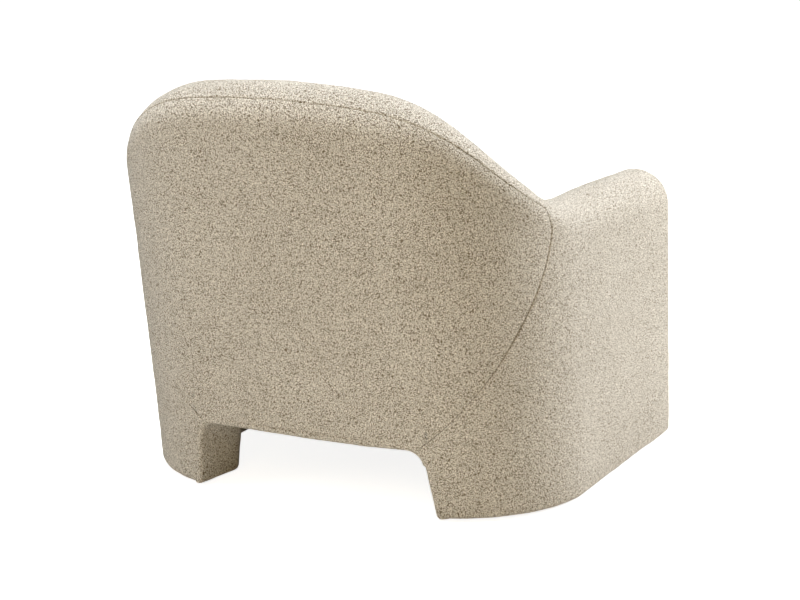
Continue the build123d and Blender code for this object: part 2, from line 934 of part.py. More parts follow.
def seat_plan(height, front):
    """Draw the plan of the space between the arms and the back at a height, from a front line."""
    side = inside_x - deck_gap
    reach = back_radius - back_wall - deck_gap
    centre_y = rear_y - back_radius + rake * height
    corner = centre_y + sqrt(reach**2 - side**2)
    with BuildSketch(Plane.XY.offset(height)) as plan:
        with BuildLine():
            Polyline((-side, corner), (-side, front), (side, front), (side, corner))
            ThreePointArc((side, corner), (0, centre_y + reach), (-side, corner))
        make_face()
        fillet(plan.vertices().group_by(Axis.Y)[-1], corner_radius - arm_wall + deck_gap)
    return plan.sketch


# Deck and dust cover
deck_front = border_end_y + fit_gap
deck_low = clip_top + clip_slack
deck_pad_top = border_top - deck_cloth_thickness

with BuildPart() as deck_pad:
    add(seat_plan(deck_low, deck_front))
    extrude(amount=deck_pad_top - deck_low)

with BuildPart() as deck_cloth:
    add(seat_plan(deck_pad_top, deck_front))
    extrude(amount=deck_cloth_thickness)

with BuildPart() as dust_cover:
    add(seat_plan(rail_low - fit_gap / 2, deck_front))
    extrude(amount=-dust_cloth)

# Seat cushion
cushion_low = border_top + fit_gap
cushion_high = cushion_low + cushion_thickness + cushion_crown
cushion_side = inside_x - cushion_side_gap
cushion_front = front_y + cushion_front_recess
rear_straight = cushion_side - cushion_rear_round
cushion_sag = inner_back_radius - sqrt(inner_back_radius**2 - rear_straight**2)


def cushion_rear(height):
    """Give the y of the cushion's rear face, which leans with the back."""
    return rear_y + rake * height - back_wall - cushion_sag - cushion_rear_gap


def cushion_plan(height, shrink):
    """Draw the cushion's plan with drawn-in sides and round corners."""
    side = cushion_side - shrink
    front = cushion_front + shrink
    rear = cushion_rear(height) - shrink
    with BuildSketch(Plane.XY.offset(height)) as plan:
        with BuildLine():
            ThreePointArc((-side, front), (0, front + cushion_draw), (side, front))
            ThreePointArc((side, front), (side - cushion_draw, (front + rear) / 2), (side, rear))
            Line((side, rear), (-side, rear))
            ThreePointArc((-side, rear), (cushion_draw - side, (front + rear) / 2), (-side, front))
        make_face()
        fillet(plan.vertices().group_by(Axis.Y)[0], cushion_front_round - shrink)
        fillet(plan.vertices().group_by(Axis.Y)[-1], cushion_rear_round - shrink)
    return plan.sketch.face()


def cushion_solid(shrink):
    """Make the cushion with a domed crown and round edges, taken in by a skin."""
    crown_radius = (cushion_side**2 + cushion_crown**2) / (2 * cushion_crown)
    middle_y = (cushion_front + cushion_rear(cushion_low)) / 2
    with BuildPart() as cushion:
        low = cushion_plan(cushion_low + shrink, shrink)
        high = cushion_plan(cushion_high, shrink)
        loft(sections=[low, high], ruled=True)
        with Locations((0, middle_y, cushion_high - crown_radius)):
            Sphere(crown_radius - shrink, mode=Mode.INTERSECT)
        fillet(cushion.faces().sort_by(Axis.Z)[-1].edges(), cushion_edge_round - shrink)
        fillet(cushion.faces().sort_by(Axis.Z)[0].edges(), cushion_edge_round - shrink)
    return cushion.part


cushion_inside = cushion_solid(cushion_fabric)
zip_height = cushion_low + zip_rise
zip_plane = Plane(origin=(0, cushion_rear(zip_height), zip_height), x_dir=(1, 0, 0), z_dir=(0, 1, -rake))
tape_in = zip_middle_gap / 2 + zip_tooth_width / 2
pocket_width = 2 * (tape_in + zip_tape_width + fit_gap)
tooth_middle = -cushion_fabric - zip_tape_thickness / 2

with BuildPart() as cushion_cover:
    add(cushion_solid(0))
    add(cushion_inside, mode=Mode.SUBTRACT)
    with BuildSketch(zip_plane):
        Rectangle(zip_length, zip_slot)
    extrude(amount=2 * cushion_fabric, both=True, mode=Mode.SUBTRACT)

with BuildPart() as cushion_foam:
    add(cushion_inside)
    with BuildSketch(zip_plane):
        Rectangle(zip_length + 2 * zip_end_lap + 2 * fit_gap, pocket_width)
    extrude(amount=-pocket_depth - cushion_fabric, mode=Mode.SUBTRACT)

with BuildPart() as cushion_zip_tapes:
    for zip_side in (1, -1):
        with BuildSketch(zip_plane.offset(-cushion_fabric)):
            with Locations((0, zip_side * (tape_in + zip_tape_width / 2))):
                Rectangle(zip_length + 2 * zip_end_lap, zip_tape_width)
        extrude(amount=-zip_tape_thickness)
        with BuildSketch(zip_plane.offset(tooth_middle)):
            with Locations((0, zip_side * (zip_middle_gap + zip_tooth_width) / 2)):
                Rectangle(zip_length, zip_tooth_width)
        extrude(amount=zip_tooth_height / 2, both=True)

slider_x = zip_length / 2 - slider_length
plate_near = zip_tooth_height / 2 + fit_gap
pull_lift = fit_gap
with BuildPart() as cushion_zip_slider:
    for plate_way in (1, -1):
        with BuildSketch(zip_plane.offset(tooth_middle + plate_way * plate_near)):
            with Locations((slider_x, 0)):
                RectangleRounded(slider_length, slider_width, slider_width / 4)
        extrude(amount=plate_way * slider_plate)
    with BuildSketch(zip_plane.offset(tooth_middle)):
        with Locations((slider_x, 0)):
            Rectangle(slider_length / 2, slider_web)
    extrude(amount=plate_near, both=True)
    with BuildSketch(zip_plane.offset(tooth_middle + plate_near)):
        with Locations((slider_x, 0)):
            Rectangle(pull_width / 2, pull_width / 2)
    extrude(amount=pull_lift + slider_plate - tooth_middle - plate_near)
    with BuildSketch(zip_plane.offset(pull_lift)):
        with Locations((slider_x, pull_length / 2 - pull_width / 2)):
            RectangleRounded(pull_width, pull_length, pull_width / 3)
    extrude(amount=slider_plate)

# Labels and files
pieces = {
    "outside_back_cover": outside_back_cover,
    "back_top_band": back_top_band,
    "inside_back_cover": inside_back_cover,
    "arm_cover_left": arm_cover_left,
    "arm_cover_right": arm_cover_right,
    "front_border_cover": front_border_cover,
    "cushion_cover": cushion_cover,
    "cushion_foam": cushion_foam,
    "cushion_zip_tapes": cushion_zip_tapes,
    "cushion_zip_slider": cushion_zip_slider,
    "deck_cloth": deck_cloth,
    "dust_cover": dust_cover,
    "glides": glides,
    "arm_foam_left": arm_foam_left,
    "arm_foam_right": arm_foam_right,
    "back_foam": back_foam,
    "front_border_pad": front_border_pad,
    "deck_pad": deck_pad,
    "arm_board_left": arm_board_left,
    "arm_board_right": arm_board_right,
    "back_board": back_board,
    "base_plate_left": base_plate_left,
    "base_plate_right": base_plate_right,
    "arm_top_plate_left": arm_top_plate_left,
    "arm_top_plate_right": arm_top_plate_right,
    "arm_front_post_left": arm_front_post_left,
    "arm_front_post_right": arm_front_post_right,
    "arm_studs_left": arm_studs_left,
    "arm_studs_right": arm_studs_right,
    "corner_ribs_left": corner_ribs_left,
    "corner_ribs_right": corner_ribs_right,
    "rear_post_left": rear_post_left,
    "rear_post_right": rear_post_right,
    "back_lower_rail": back_lower_rail,
    "back_top_rail": back_top_rail,
    "back_ribs": back_ribs,
    "back_webbing": back_webbing,
    "seat_front_rail": seat_front_rail_drilled,
    "seat_rear_rail": seat_rear_rail,
    "seat_side_rail_left": seat_side_rail_left,
    "seat_side_rail_right": seat_side_rail_right,
    "seat_corner_rail_left": seat_corner_rail_left,
    "seat_corner_rail_right": seat_corner_rail_right,
    "seat_corner_blocks": seat_corner_blocks,
    "block_screws": block_screws,
    "arm_bolts": arm_bolts,
    "arm_nuts": arm_nuts,
    "seat_springs": seat_springs,
    "spring_clips": spring_clips,
    "spring_tie_rods": spring_tie_rods,
}
os.makedirs("parts", exist_ok=True)
for label, piece in pieces.items():
    piece.part.label = label
    export_step(piece.part, f"parts/{label}.step")
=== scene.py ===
# %% [markdown]
# # A barrel armchair in bouclé, built around its CAD frame
#
# The chair in the photograph is one padded wall that stands on the floor, runs round the back and
# ends in two thick arms. The frame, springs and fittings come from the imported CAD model. Everything
# soft is made again here as surfaces, because cloth over foam has rolled edges and a nap that a
# solid doesn't show.

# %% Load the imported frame
import json
import math

import bmesh
import bpy
import mathutils
import numpy as np
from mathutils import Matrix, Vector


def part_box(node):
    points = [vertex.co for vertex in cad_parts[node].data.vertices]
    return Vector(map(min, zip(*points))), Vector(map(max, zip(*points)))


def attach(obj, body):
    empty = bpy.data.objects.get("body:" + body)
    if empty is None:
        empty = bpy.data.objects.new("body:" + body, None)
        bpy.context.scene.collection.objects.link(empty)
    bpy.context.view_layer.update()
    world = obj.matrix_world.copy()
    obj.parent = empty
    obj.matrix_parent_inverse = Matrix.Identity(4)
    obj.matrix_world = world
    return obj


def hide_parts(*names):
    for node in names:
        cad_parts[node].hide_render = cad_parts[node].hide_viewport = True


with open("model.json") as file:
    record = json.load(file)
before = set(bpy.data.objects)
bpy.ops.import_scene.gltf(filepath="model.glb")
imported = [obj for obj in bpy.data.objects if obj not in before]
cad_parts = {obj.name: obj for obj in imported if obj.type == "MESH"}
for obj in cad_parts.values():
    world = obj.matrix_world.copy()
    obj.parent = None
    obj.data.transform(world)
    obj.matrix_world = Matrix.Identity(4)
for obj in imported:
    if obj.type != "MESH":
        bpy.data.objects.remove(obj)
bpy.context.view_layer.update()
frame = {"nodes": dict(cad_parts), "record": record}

# %% [markdown]
# ## The outline of the wall
#
# Seen from above, the wall follows a shallow arc across the back, a round corner and a straight arm.
# We could draw this as a curve object, but a formula lets every panel ask for any point. We name a
# place by its *run*, the distance along the outline from the middle of the back. Points are then
# given by run, by how far they lie in from the outer face, and by height. All sizes are metres.

# %% Outline of the wall
half_width = 0.400
overall_depth = 0.830
overall_height = 0.738
arm_height = 0.503
arm_wall = 0.120
back_wall = 0.130
corner_radius = 0.245
back_radius = 1.470
rake = math.tan(math.radians(10.2))
front_slope = math.tan(math.radians(4.5))
front_y = -overall_depth / 2
rear_y = overall_depth / 2 - rake * (overall_height - back_wall / 2)
rear_y -= back_wall / 2 * (math.sqrt(1 + rake**2) - 1)
back_angle = math.asin((half_width - corner_radius) / (back_radius - corner_radius))
corner_y = rear_y - back_radius + (back_radius - corner_radius) * math.cos(back_angle)
back_run = back_radius * back_angle
corner_run = back_run + corner_radius * (math.pi / 2 - back_angle)
side_length = corner_y - front_y
front_run = corner_run + side_length


def outline(run):
    """The plan outline: two arcs and a straight, mirrored for negative runs.

    Gives x, y, the outward normal's x and y, and the rearward lean per metre of height.
    """
    far = np.abs(run)
    side = np.where(run < 0, -1.0, 1.0)
    corner_turn = np.minimum(back_angle + (far - back_run) / corner_radius, math.pi / 2)
    turn = np.where(far <= back_run, far / back_radius, corner_turn)
    corner_x = half_width - corner_radius + corner_radius * np.sin(turn)
    arc_y = rear_y - back_radius + back_radius * np.cos(turn)
    x = np.where(far <= back_run, back_radius * np.sin(turn), corner_x)
    y = np.where(far <= back_run, arc_y, corner_y + corner_radius * np.cos(turn))
    along = np.maximum(far - corner_run, 0)
    lean = rake + (front_slope - rake) * along / side_length
    return side * x, y - along, side * np.sin(turn), np.cos(turn), lean


def wall(run, inset, z):
    """The point at a run, an inset from the outer face and a height: outline less normal times inset."""
    x, y, nx, ny, lean = outline(run)
    return np.stack([x - nx * inset, y - ny * inset + lean * z, z + 0 * x], axis=-1)


print("runs: back", round(back_run, 3), "corner", round(corner_run, 3), "front", round(front_run, 3))

# %% [markdown]
# ## The top line and the cross-section
#
# The top of the wall sweeps down from the back to the arms in one S-curve, and the padding gives
# each arm a soft crown. The cross-section is a slab with a half-round roll on top. One number, the
# *walk*, goes round it: -1 to 0 climbs the outer face, 0 to 1 goes over the roll and 1 to 2 comes
# down the inner face. A panel of cloth is then just a range of runs and walks.

# %% Top line and cross-section
rise_run = 0.391
rise_softness = 0.079
arm_crown = 0.009
crown_run = corner_run + 0.49 * side_length
crown_width = 0.31 * side_length
cover_low = 0.006


def rise_share(run):
    """How far the top line has climbed from arm to back, 0 to 1: a logistic curve of the run."""
    climb = 1 / (1 + np.exp((np.abs(run) - rise_run) / rise_softness))
    return climb * (1 + math.exp(-rise_run / rise_softness))


def roll_radius(run):
    """Half the wall's thickness, which is the radius of its top roll."""
    return (arm_wall + (back_wall - arm_wall) * rise_share(run)) / 2


def arm_top(run):
    """The height of an arm's top: level, with a soft crown part-way along, a bell curve of the run."""
    return arm_height + arm_crown * np.exp(-(((np.abs(run) - crown_run) / crown_width) ** 2))


def shoulder(run):
    """The height where the straight face ends and the roll begins: the top less the roll's radius."""
    return arm_top(run) + (overall_height - arm_top(run)) * rise_share(run) - roll_radius(run)


def height_of(run, walk):
    """The height at a run and a walk: linear on both faces, a half circle over the roll."""
    rise = shoulder(run) - cover_low
    drop = np.where(walk < 0, walk, np.where(walk > 1, 1 - walk, 0)) * rise
    return shoulder(run) + drop + roll_radius(run) * np.sin(np.clip(walk, 0, 1) * math.pi)


def walk_of(run, z):
    """The walk on the outer face at a run and a height, the inverse of the line above."""
    return (z - shoulder(run)) / (shoulder(run) - cover_low)


def skin(run, walk, sink):
    """The point of the padded surface: up, round the roll and down again, less a sink."""
    radius = roll_radius(run)
    turn = np.clip(walk, 0, 1) * math.pi
    reach = radius - sink
    z = height_of(run, walk) - sink * np.sin(turn)
    return wall(run, radius - reach * np.cos(turn), z)


top_at = [round(float(shoulder(run) + roll_radius(run)), 3) for run in (0, rise_run, front_run)]
print("top line at the back, the sweep and the front:", top_at)

# %% [markdown]
# ## Where the seams run
#
# The back panel is sewn to the arms along a round line that climbs from the arch to the shoulder,
# goes straight over the roll and down inside. A second seam parts it from the band over the top.
# Each line is written once, so that two panels that meet there look it up in the same place.

# %% Seam lines
seam_points = np.array([(0.197, 0.127), (0.333, 0.286), (0.391, 0.490)])
roll_seam_walks = (0.0, 0.24, 1.0)
roll_seam_runs = (0.4745, 0.4700, 0.4700)
band_runs_known = (0.0, 0.235, 0.315, 0.385, 0.470)
band_walks_known = (0.217, 0.224, 0.186, 0.128, 0.150)
band_blend = np.linspace(-0.03, 0.03, 7)
band_front = 0.805

run_table = np.linspace(0, corner_run, 2000)
x_table = outline(run_table)[0]
chords = np.diff(seam_points, axis=0)
middles = (seam_points[:-1] + seam_points[1:]) / 2
seam_centre = np.linalg.solve(chords, np.sum(chords * middles, axis=1))
seam_radius = np.linalg.norm(seam_points[0] - seam_centre)


def run_at_x(x):
    """The run on the outer face that lies a distance x to the side, looked up in a table."""
    return np.interp(x, x_table, run_table)


def seam_x(z):
    """The back panel's edge seen from behind: an arc of the circle through three points."""
    return seam_centre[0] + np.sqrt(np.maximum(seam_radius**2 - (z - seam_centre[1]) ** 2, 0))


def band_seam(run):
    """The walk of the band's seam: a line through known places, averaged over a short stretch."""
    far = np.minimum(np.abs(run), band_runs_known[-1])
    blend = np.zeros_like(far)
    for shift in band_blend:
        near = np.interp(np.abs(far + shift), band_runs_known, band_walks_known)
        blend = blend + near / len(band_blend)
    return blend


print("seam circle: radius", round(seam_radius, 3))

# %% [markdown]
# ## The arch
#
# Between the rear feet the wall is cut away in an arch with straight flanks and round top corners.
# The cloth rolls over its edge, so each formula takes a width by which the opening is grown.

# %% Arch
arch_top = 0.127
arch_floor_half = 0.225
arch_top_half = 0.209
arch_round = 0.027


def arch_x(z, grow):
    """Half the opening at a height, grown all round: a straight flank with a round top corner."""
    flank = arch_floor_half + grow + (arch_top_half - arch_floor_half) * z / arch_top
    corner = arch_round + grow
    up = np.clip(z - (arch_top - arch_round), 0, corner)
    return flank - (corner - np.sqrt(corner**2 - up**2))


def arch_z(x, grow):
    """The arch's top edge at a distance x to the side, grown all round: level, then round."""
    corner = arch_round + grow
    out = np.clip(np.abs(x) - (arch_top_half - arch_round), 0, corner)
    return arch_top - arch_round + np.sqrt(corner**2 - out**2)


print("arch: width at the floor", round(2 * float(arch_x(0.0, 0.0)), 3), "height", arch_top)

# %% [markdown]
# ## From arrays to meshes
#
# Every panel is a grid of points, so one helper turns grids into a mesh. It writes whole arrays with
# `foreach_set`, which is far quicker than adding vertices one by one, and then welds the points that
# two grids share.

# %% Mesh helpers
weld_gap = 1e-5


def grid_faces(rows, columns):
    """Quads of a grid of rows by columns, as vertex numbers."""
    number = np.arange(rows * columns).reshape(rows, columns)
    corners = [number[:-1, :-1], number[1:, :-1], number[1:, 1:], number[:-1, 1:]]
    return np.stack(corners, axis=-1).reshape(-1, 4)


def mesh_piece(name, grids, flip=()):
    """One mesh object from several grids of points; grids numbered in flip are turned inside out."""
    points, faces, start = [], [], 0
    for index, grid in enumerate(grids):
        quads = grid_faces(*grid.shape[:2]) + start
        faces.append(quads[:, ::-1] if index in flip else quads)
        points.append(grid.reshape(-1, 3))
        start += grid.shape[0] * grid.shape[1]
    points, faces = np.concatenate(points), np.concatenate(faces)
    mesh = bpy.data.meshes.new(name)
    mesh.vertices.add(len(points))
    mesh.vertices.foreach_set("co", points.astype(np.float32).ravel())
    mesh.loops.add(faces.size)
    mesh.loops.foreach_set("vertex_index", faces.astype(np.int32).ravel())
    mesh.polygons.add(len(faces))
    mesh.polygons.foreach_set("loop_start", np.arange(0, faces.size, 4, dtype=np.int32))
    mesh.polygons.foreach_set("use_smooth", np.ones(len(faces), dtype=bool))
    mesh.update(calc_edges=True)
    welded = bmesh.new()
    welded.from_mesh(mesh)
    bmesh.ops.remove_doubles(welded, verts=welded.verts, dist=weld_gap)
    welded.to_mesh(mesh)
    welded.free()
    piece = bpy.data.objects.new(name, mesh)
    bpy.context.scene.collection.objects.link(piece)
    return piece


print("quads of a 3 by 4 grid:", len(grid_faces(3, 4)))

# %% [markdown]
# ## How upholstery behaves at its edges
#
# The edge of a sewn panel rolls down into the seam. That roll is a quarter circle, and the grid is
# finer there so that it stays round. Foam under cloth is never quite even, so a smooth random swell
# moves each grid along its own normals. Bevel and Displace modifiers could do both, but here the
# edge is known exactly, because it is the border of the grid.

# %% Cloth helpers
coarse = 0.005
fine = 0.0012
broad_swell, broad_size = 0.0012, 0.11
small_swell, small_size, small_shift = 0.0005, 0.022, 3.1
noise_table = np.random.default_rng(7).uniform(-1, 1, (32, 32, 32))


def stops(length, spacing, edge=0.012):
    """Places 0 to 1 along a strip: close together near both ends, wider between."""
    near = np.linspace(0, edge, int(edge / fine), endpoint=False)
    far = np.linspace(edge, length - edge, max(3, int((length - 2 * edge) / spacing)))
    return np.concatenate([near, far, length - near[::-1]]) / length


def rolled(distance, radius):
    """How far an edge has rolled down at a distance from it: a quarter circle of that radius."""
    return radius - np.sqrt(np.maximum(radius**2 - np.maximum(radius - distance, 0) ** 2, 0))


def soft_noise(points, size):
    """Smooth values from -1 to 1: a lattice of random numbers, blended between its corners."""
    place = points / size
    cell = np.floor(place).astype(int)
    part = place - cell
    part = part * part * (3 - 2 * part)
    total = np.zeros(points.shape[:-1])
    for corner in np.ndindex(2, 2, 2):
        weight = np.prod(np.where(corner, part, 1 - part), axis=-1)
        index = (cell + corner) % noise_table.shape[0]
        total += weight * noise_table[index[..., 0], index[..., 1], index[..., 2]]
    return total


def swollen(grid, share=1.0):
    """Move a grid along its normals by a broad swell and a small unevenness, times a share.

    The two outer rows and columns, which may be tucked down, take the normals of the third.
    """
    normal = np.cross(np.gradient(grid, axis=0), np.gradient(grid, axis=1))
    normal = np.pad(normal[2:-2, 2:-2], ((2, 2), (2, 2), (0, 0)), mode="edge")
    normal /= np.maximum(np.linalg.norm(normal, axis=-1, keepdims=True), 1e-12)
    swell = broad_swell * soft_noise(grid, broad_size)
    swell = swell + small_swell * soft_noise(grid + small_shift, small_size)
    return grid + normal * (share * swell)[..., None]


def tucked(run, walk, sink, ends, sides):
    """A panel's points with one more row and column all round, sunk into the seam by two depths."""
    run, walk, sink = (np.pad(a, 1, mode="edge") for a in np.broadcast_arrays(run, walk, sink))
    sink[0, :] += ends[0]
    sink[-1, :] += ends[1]
    sink[:, [0, -1]] += sides
    return skin(run, walk, sink)


print("random lattice:", noise_table.shape, "grid steps:", coarse, "and", fine)

# %% [markdown]
# ## Rows of the outside back
#
# The big panel seen in the photograph climbs from the arch to the band on the top roll, between two
# side seams. Neither edge is straight, so we need to know where a row meets a seam. That could be
# cut with a Boolean; solving for the run instead makes the grid's own border the line that is sewn.

# %% Rows of the outside back
edge_round = 0.009
search_runs = np.linspace(0.15, 0.70, 1400)[None, :]
low_seam_roll, seam_roll_gain = 0.0020, 0.0020
gain_start, gain_height = 0.25, 0.25


def meeting_run(walk_at, edge_at):
    """The run where a line walk_at(run) meets an edge edge_at(run, walk).

    The first change of sign along a table of runs, then a straight line between the two runs.
    """
    past = search_runs - edge_at(search_runs, walk_at(search_runs))
    hit = np.argmax(past > 0, axis=1)
    row = np.arange(len(hit))
    before, after = past[row, hit - 1], past[row, hit]
    step = search_runs[0, hit] - search_runs[0, hit - 1]
    return search_runs[0, hit - 1] + step * before / (before - after)


def back_row(run, level):
    """The walk at a level 0 to 1 between the arch and the band's seam, by length of cloth."""
    base = arch_z(outline(run)[0], edge_round)
    straight = shoulder(run) - base
    climb = level * (straight + roll_radius(run) * band_seam(run) * math.pi)
    face = walk_of(run, base + np.minimum(climb, straight))
    return np.where(climb < straight, face, (climb - straight) / (roll_radius(run) * math.pi))


def seam_run(run, walk):
    """The run of the seam between back and arm: the circle below, known runs over the roll."""
    low = run_at_x(seam_x(np.maximum(height_of(run, walk), arch_top)))
    return np.where(walk < 0, low, np.interp(walk, roll_seam_walks, roll_seam_runs))


def seam_roll(z):
    """How round a panel's edge is at the seam: nearly flush by the arch, fuller at the shoulder."""
    return low_seam_roll + seam_roll_gain * np.clip((z - gain_start) / gain_height, 0, 1)


middle_seam = float(meeting_run(lambda run: 0 * run, seam_run)[0])
print("side seam reaches the shoulder at run", round(middle_seam, 3))

# %% [markdown]
# ## Outside back
#
# With the rows known, the panel is a grid of levels and spreads. Its sides roll into the seams, its
# top lies flush under the band, and the hem at the bottom is top-stitched, which leaves a thin line
# just above the arch. All of these are one array, the sink, that says how far each point goes in.

# %% Outside back
back_tall, back_wide, back_climb = 0.60, 0.95, 0.57
flush_roll, flush_tuck, side_tuck = 0.0003, 0.0006, 0.004
hem_rise, hem_depth, hem_width, hem_reach = 0.012, 0.0030, 0.0020, 0.16

levels = stops(back_tall, coarse)[:, None]
spread = 2 * stops(back_wide, coarse)[None, :] - 1
ends = meeting_run(lambda run: back_row(run, levels), seam_run)[:, None]
runs = spread * ends
walks = back_row(runs, levels)
heights = height_of(runs, walks)
sink = np.maximum(rolled((1 - np.abs(spread)) * ends, seam_roll(heights)),
                  rolled((1 - levels) * back_climb, flush_roll))
low_gap = heights - arch_z(outline(runs)[0], edge_round)
hem_gap = (low_gap + edge_round - hem_rise) / hem_width
hem_fade = np.clip(1 - (np.abs(runs) / hem_reach) ** 4, 0, 1)
sink = sink + hem_depth * hem_fade * np.exp(-(hem_gap**2))
back_grid = swollen(tucked(runs, walks, sink, (0.0, flush_tuck), side_tuck))
outside_back = mesh_piece("outside_back_panel", [back_grid])
print("outside back:", len(outside_back.data.polygons), "faces")

# %% [markdown]
# ## Band over the top roll
#
# A separate strip caps the roll of the back and ends on the same side seams. Its turned-in rear edge
# is a layer thicker, so it stands a little proud of the back panel and catches the light.

# %% Top band
bead, bead_width = 0.0012, 0.004
band_wide, band_edge, band_walk_reach = 0.12, 0.008, 0.6
band_front_roll, band_end_roll, band_front_tuck, band_end_tuck = 0.0008, 0.004, 0.002, 0.005

across = stops(band_wide, coarse, band_edge)[:, None]
spread = 2 * stops(back_wide, coarse)[None, :] - 1
end_walks = band_seam(np.array(roll_seam_runs[1])) + across * band_walk_reach
band_ends = np.interp(end_walks, roll_seam_walks, roll_seam_runs)
runs = spread * band_ends
walks = band_seam(runs) + (band_front - band_seam(runs)) * across
strip_width = (band_front - band_seam(runs)) * math.pi * roll_radius(runs)
rear_gap, front_gap = across * strip_width, (1 - across) * strip_width
sink = np.maximum(rolled(rear_gap, flush_roll), rolled(front_gap, band_front_roll))
sink = np.maximum(sink, rolled((1 - np.abs(spread)) * band_ends, band_end_roll))
sink = sink - bead * rear_gap / bead_width * np.exp(1 - rear_gap / bead_width)
band_grid = swollen(tucked(runs, walks, sink, (flush_tuck, band_front_tuck), band_end_tuck))
top_band = mesh_piece("top_band_panel", [band_grid])
print("top band:", len(top_band.data.polygons), "faces")

# %% [markdown]
# ## Inside back
#
# The panel the sitter leans on. It starts at the band's front seam, comes round the roll and runs
# down behind the seat cushion. Its padding is fuller in the middle than at the seams; a bell curve
# of the height, faded out towards the sides, gives that without any sculpting.

# %% Inside back
inside_low = 0.215
inside_tall, inside_wide, inside_climb = 0.55, 0.75, 0.52
inside_roll, inside_top_roll = 0.005, 0.0022
inside_top_tuck, inside_side_tuck = 0.003, 0.005
fullness_depth, fullness_height, fullness_spread = 0.008, 0.50, 0.13
fullness_side, fullness_power = 0.25, 0.7


def inside_row(run, level):
    """The walk at a level 0 to 1 from the band's front seam down to the deck, by length of cloth."""
    round_part = (1 - band_front) * math.pi * roll_radius(run)
    down = level * (round_part + shoulder(run) - inside_low)
    on_roll = band_front + down / (math.pi * roll_radius(run))
    on_face = 1 + (down - round_part) / (shoulder(run) - cover_low)
    return np.where(down < round_part, on_roll, on_face)


levels = stops(inside_tall, coarse)[:, None]
spread = 2 * stops(inside_wide, coarse)[None, :] - 1
end = roll_seam_runs[-1]
runs = spread * end + 0 * levels
walks = inside_row(runs, levels)
heights = height_of(runs, walks)
side_gap = (1 - np.abs(spread)) * end
sink = np.maximum(rolled(side_gap, inside_roll), rolled(levels * inside_climb, inside_top_roll))
fullness = np.exp(-(((heights - fullness_height) / fullness_spread) ** 2))
fullness = fullness * np.clip(side_gap / fullness_side, 0, 1) ** fullness_power
sink = sink - fullness_depth * fullness
inside_grid = swollen(tucked(runs, walks, sink, (inside_top_tuck, 0.0), inside_side_tuck))
inside_back = mesh_piece("inside_back_panel", [inside_grid])
print("inside back:", len(inside_back.data.polygons), "faces")

# %% [markdown]
# ## Where an arm's cover ends
#
# At the back an arm's cover ends on the seam, and below that on the edge of the arch. Under the seat
# nothing pads the inner face, so it steps back there. Both are functions of run and height, so the
# arch lining and the rear feet can ask for the same step.

# %% Edges of an arm
foot_step, foot_flare = 0.006, 0.010
between_step, between_start, between_reach = 0.028, 0.44, 0.11
front_fade_start, front_fade_reach = 0.68, 0.16
step_height = 0.015


def stepped(share):
    """A smooth step from 0 to 1 as its share goes from 0 to 1: three squares less two cubes."""
    share = np.clip(share, 0, 1)
    return share * share * (3 - 2 * share)


def recess(run, z):
    """How far the inner face steps back below the seat: most between the feet, none at the front."""
    foot = foot_step + foot_flare * (1 - z / arch_top)
    between = stepped((np.abs(run) - between_start) / between_reach)
    front = stepped((np.abs(run) - front_fade_start) / front_fade_reach)
    below = stepped((arch_top - z) / step_height)
    return below * (foot + (between_step - foot) * between) * (1 - front)


def arm_edge(run, walk):
    """The run where the arm's cover ends: the grown arch near the floor, the seam above."""
    z = height_of(run, walk)
    foot = run_at_x(arch_x(np.minimum(z, arch_top + edge_round - 1e-6), edge_round))
    seam = run_at_x(seam_x(np.maximum(z, arch_top)))
    low = np.maximum(foot, np.where(z > arch_top, seam, 0))
    outer = np.where(z < arch_top + edge_round, low, seam)
    return np.where(walk < 0, outer, np.interp(walk, roll_seam_walks, roll_seam_runs))


print("step back at a foot:", round(float(recess(0.40, 0.05)), 4), "and between the feet:",
      round(float(recess(0.60, 0.05)), 4))

# %% [markdown]
# ## Arms
#
# One cover goes up the outside of each arm, over the roll and down the inside, and closes over a
# rounded front. Columns are walks round the section. The first rows round the nose, from the middle
# of the front face out to the sides, and the others run along the arm to its rear edge.

# %% Arm sleeve
front_round = 0.040
foot_round = 0.008
arm_tall, arm_long, roll_columns = 0.44, 0.62, 38
sewn_height, arm_tuck = 0.01, 0.006
nose_fade_rows = 10

over_roll = np.linspace(0, 1, roll_columns)[1:-1]
arm_walk = np.concatenate([stops(arm_tall, coarse) - 1, over_roll, 1 + stops(arm_tall, coarse)])
arm_ends = meeting_run(lambda run: arm_walk[:, None] + 0 * run, arm_edge)[None, :]
nose_turn = np.linspace(0, math.pi / 2, 14)
flat_sink = np.linspace(arm_wall / 2, front_round, 5)[:-1]
nose_run = np.concatenate([front_run + 0 * flat_sink,
                           front_run - front_round * (1 - np.cos(nose_turn))])
nose_sink = np.concatenate([flat_sink, front_round * (1 - np.sin(nose_turn))])[:, None]
along = stops(arm_long, coarse)[1:, None]
side_runs = nose_run[-1] + (arm_ends - nose_run[-1]) * along
runs = np.concatenate([nose_run[:, None] + 0 * arm_ends, side_runs])
seam_gap = np.concatenate([1 + 0 * nose_sink + 0 * arm_ends, side_runs - arm_ends])
heights = height_of(runs, arm_walk[None, :])
sewn = np.clip((heights - arch_top - edge_round) / sewn_height, 0, 1)
sink = np.concatenate([nose_sink, 0 * along]) + rolled(seam_gap, seam_roll(heights)) * sewn
on_face = np.abs(arm_walk - 0.5) > 0.5
sink = sink + np.where(on_face, rolled(heights - cover_low, foot_round), 0)
sink = sink + np.where(arm_walk > 1, recess(runs, heights), 0)
sink = np.minimum(sink, roll_radius(runs))
rows_past = np.arange(len(runs) + 2) - len(flat_sink) - 2
past_middle = np.clip(rows_past / nose_fade_rows, 0, 1)[:, None]
arm_points = tucked(runs, arm_walk[None, :], sink, (0.0, arm_tuck), 0.0)
arm_grid = swollen(arm_points, past_middle)
print("arm sleeve grid:", arm_grid.shape)

# %% [markdown]
# ## The line of the arch
#
# The lining follows the arch: up one rear foot, round the corner, along the underside of the back
# and down the other foot. We write half of that line, with the direction that points out of the
# opening, and mirror it.

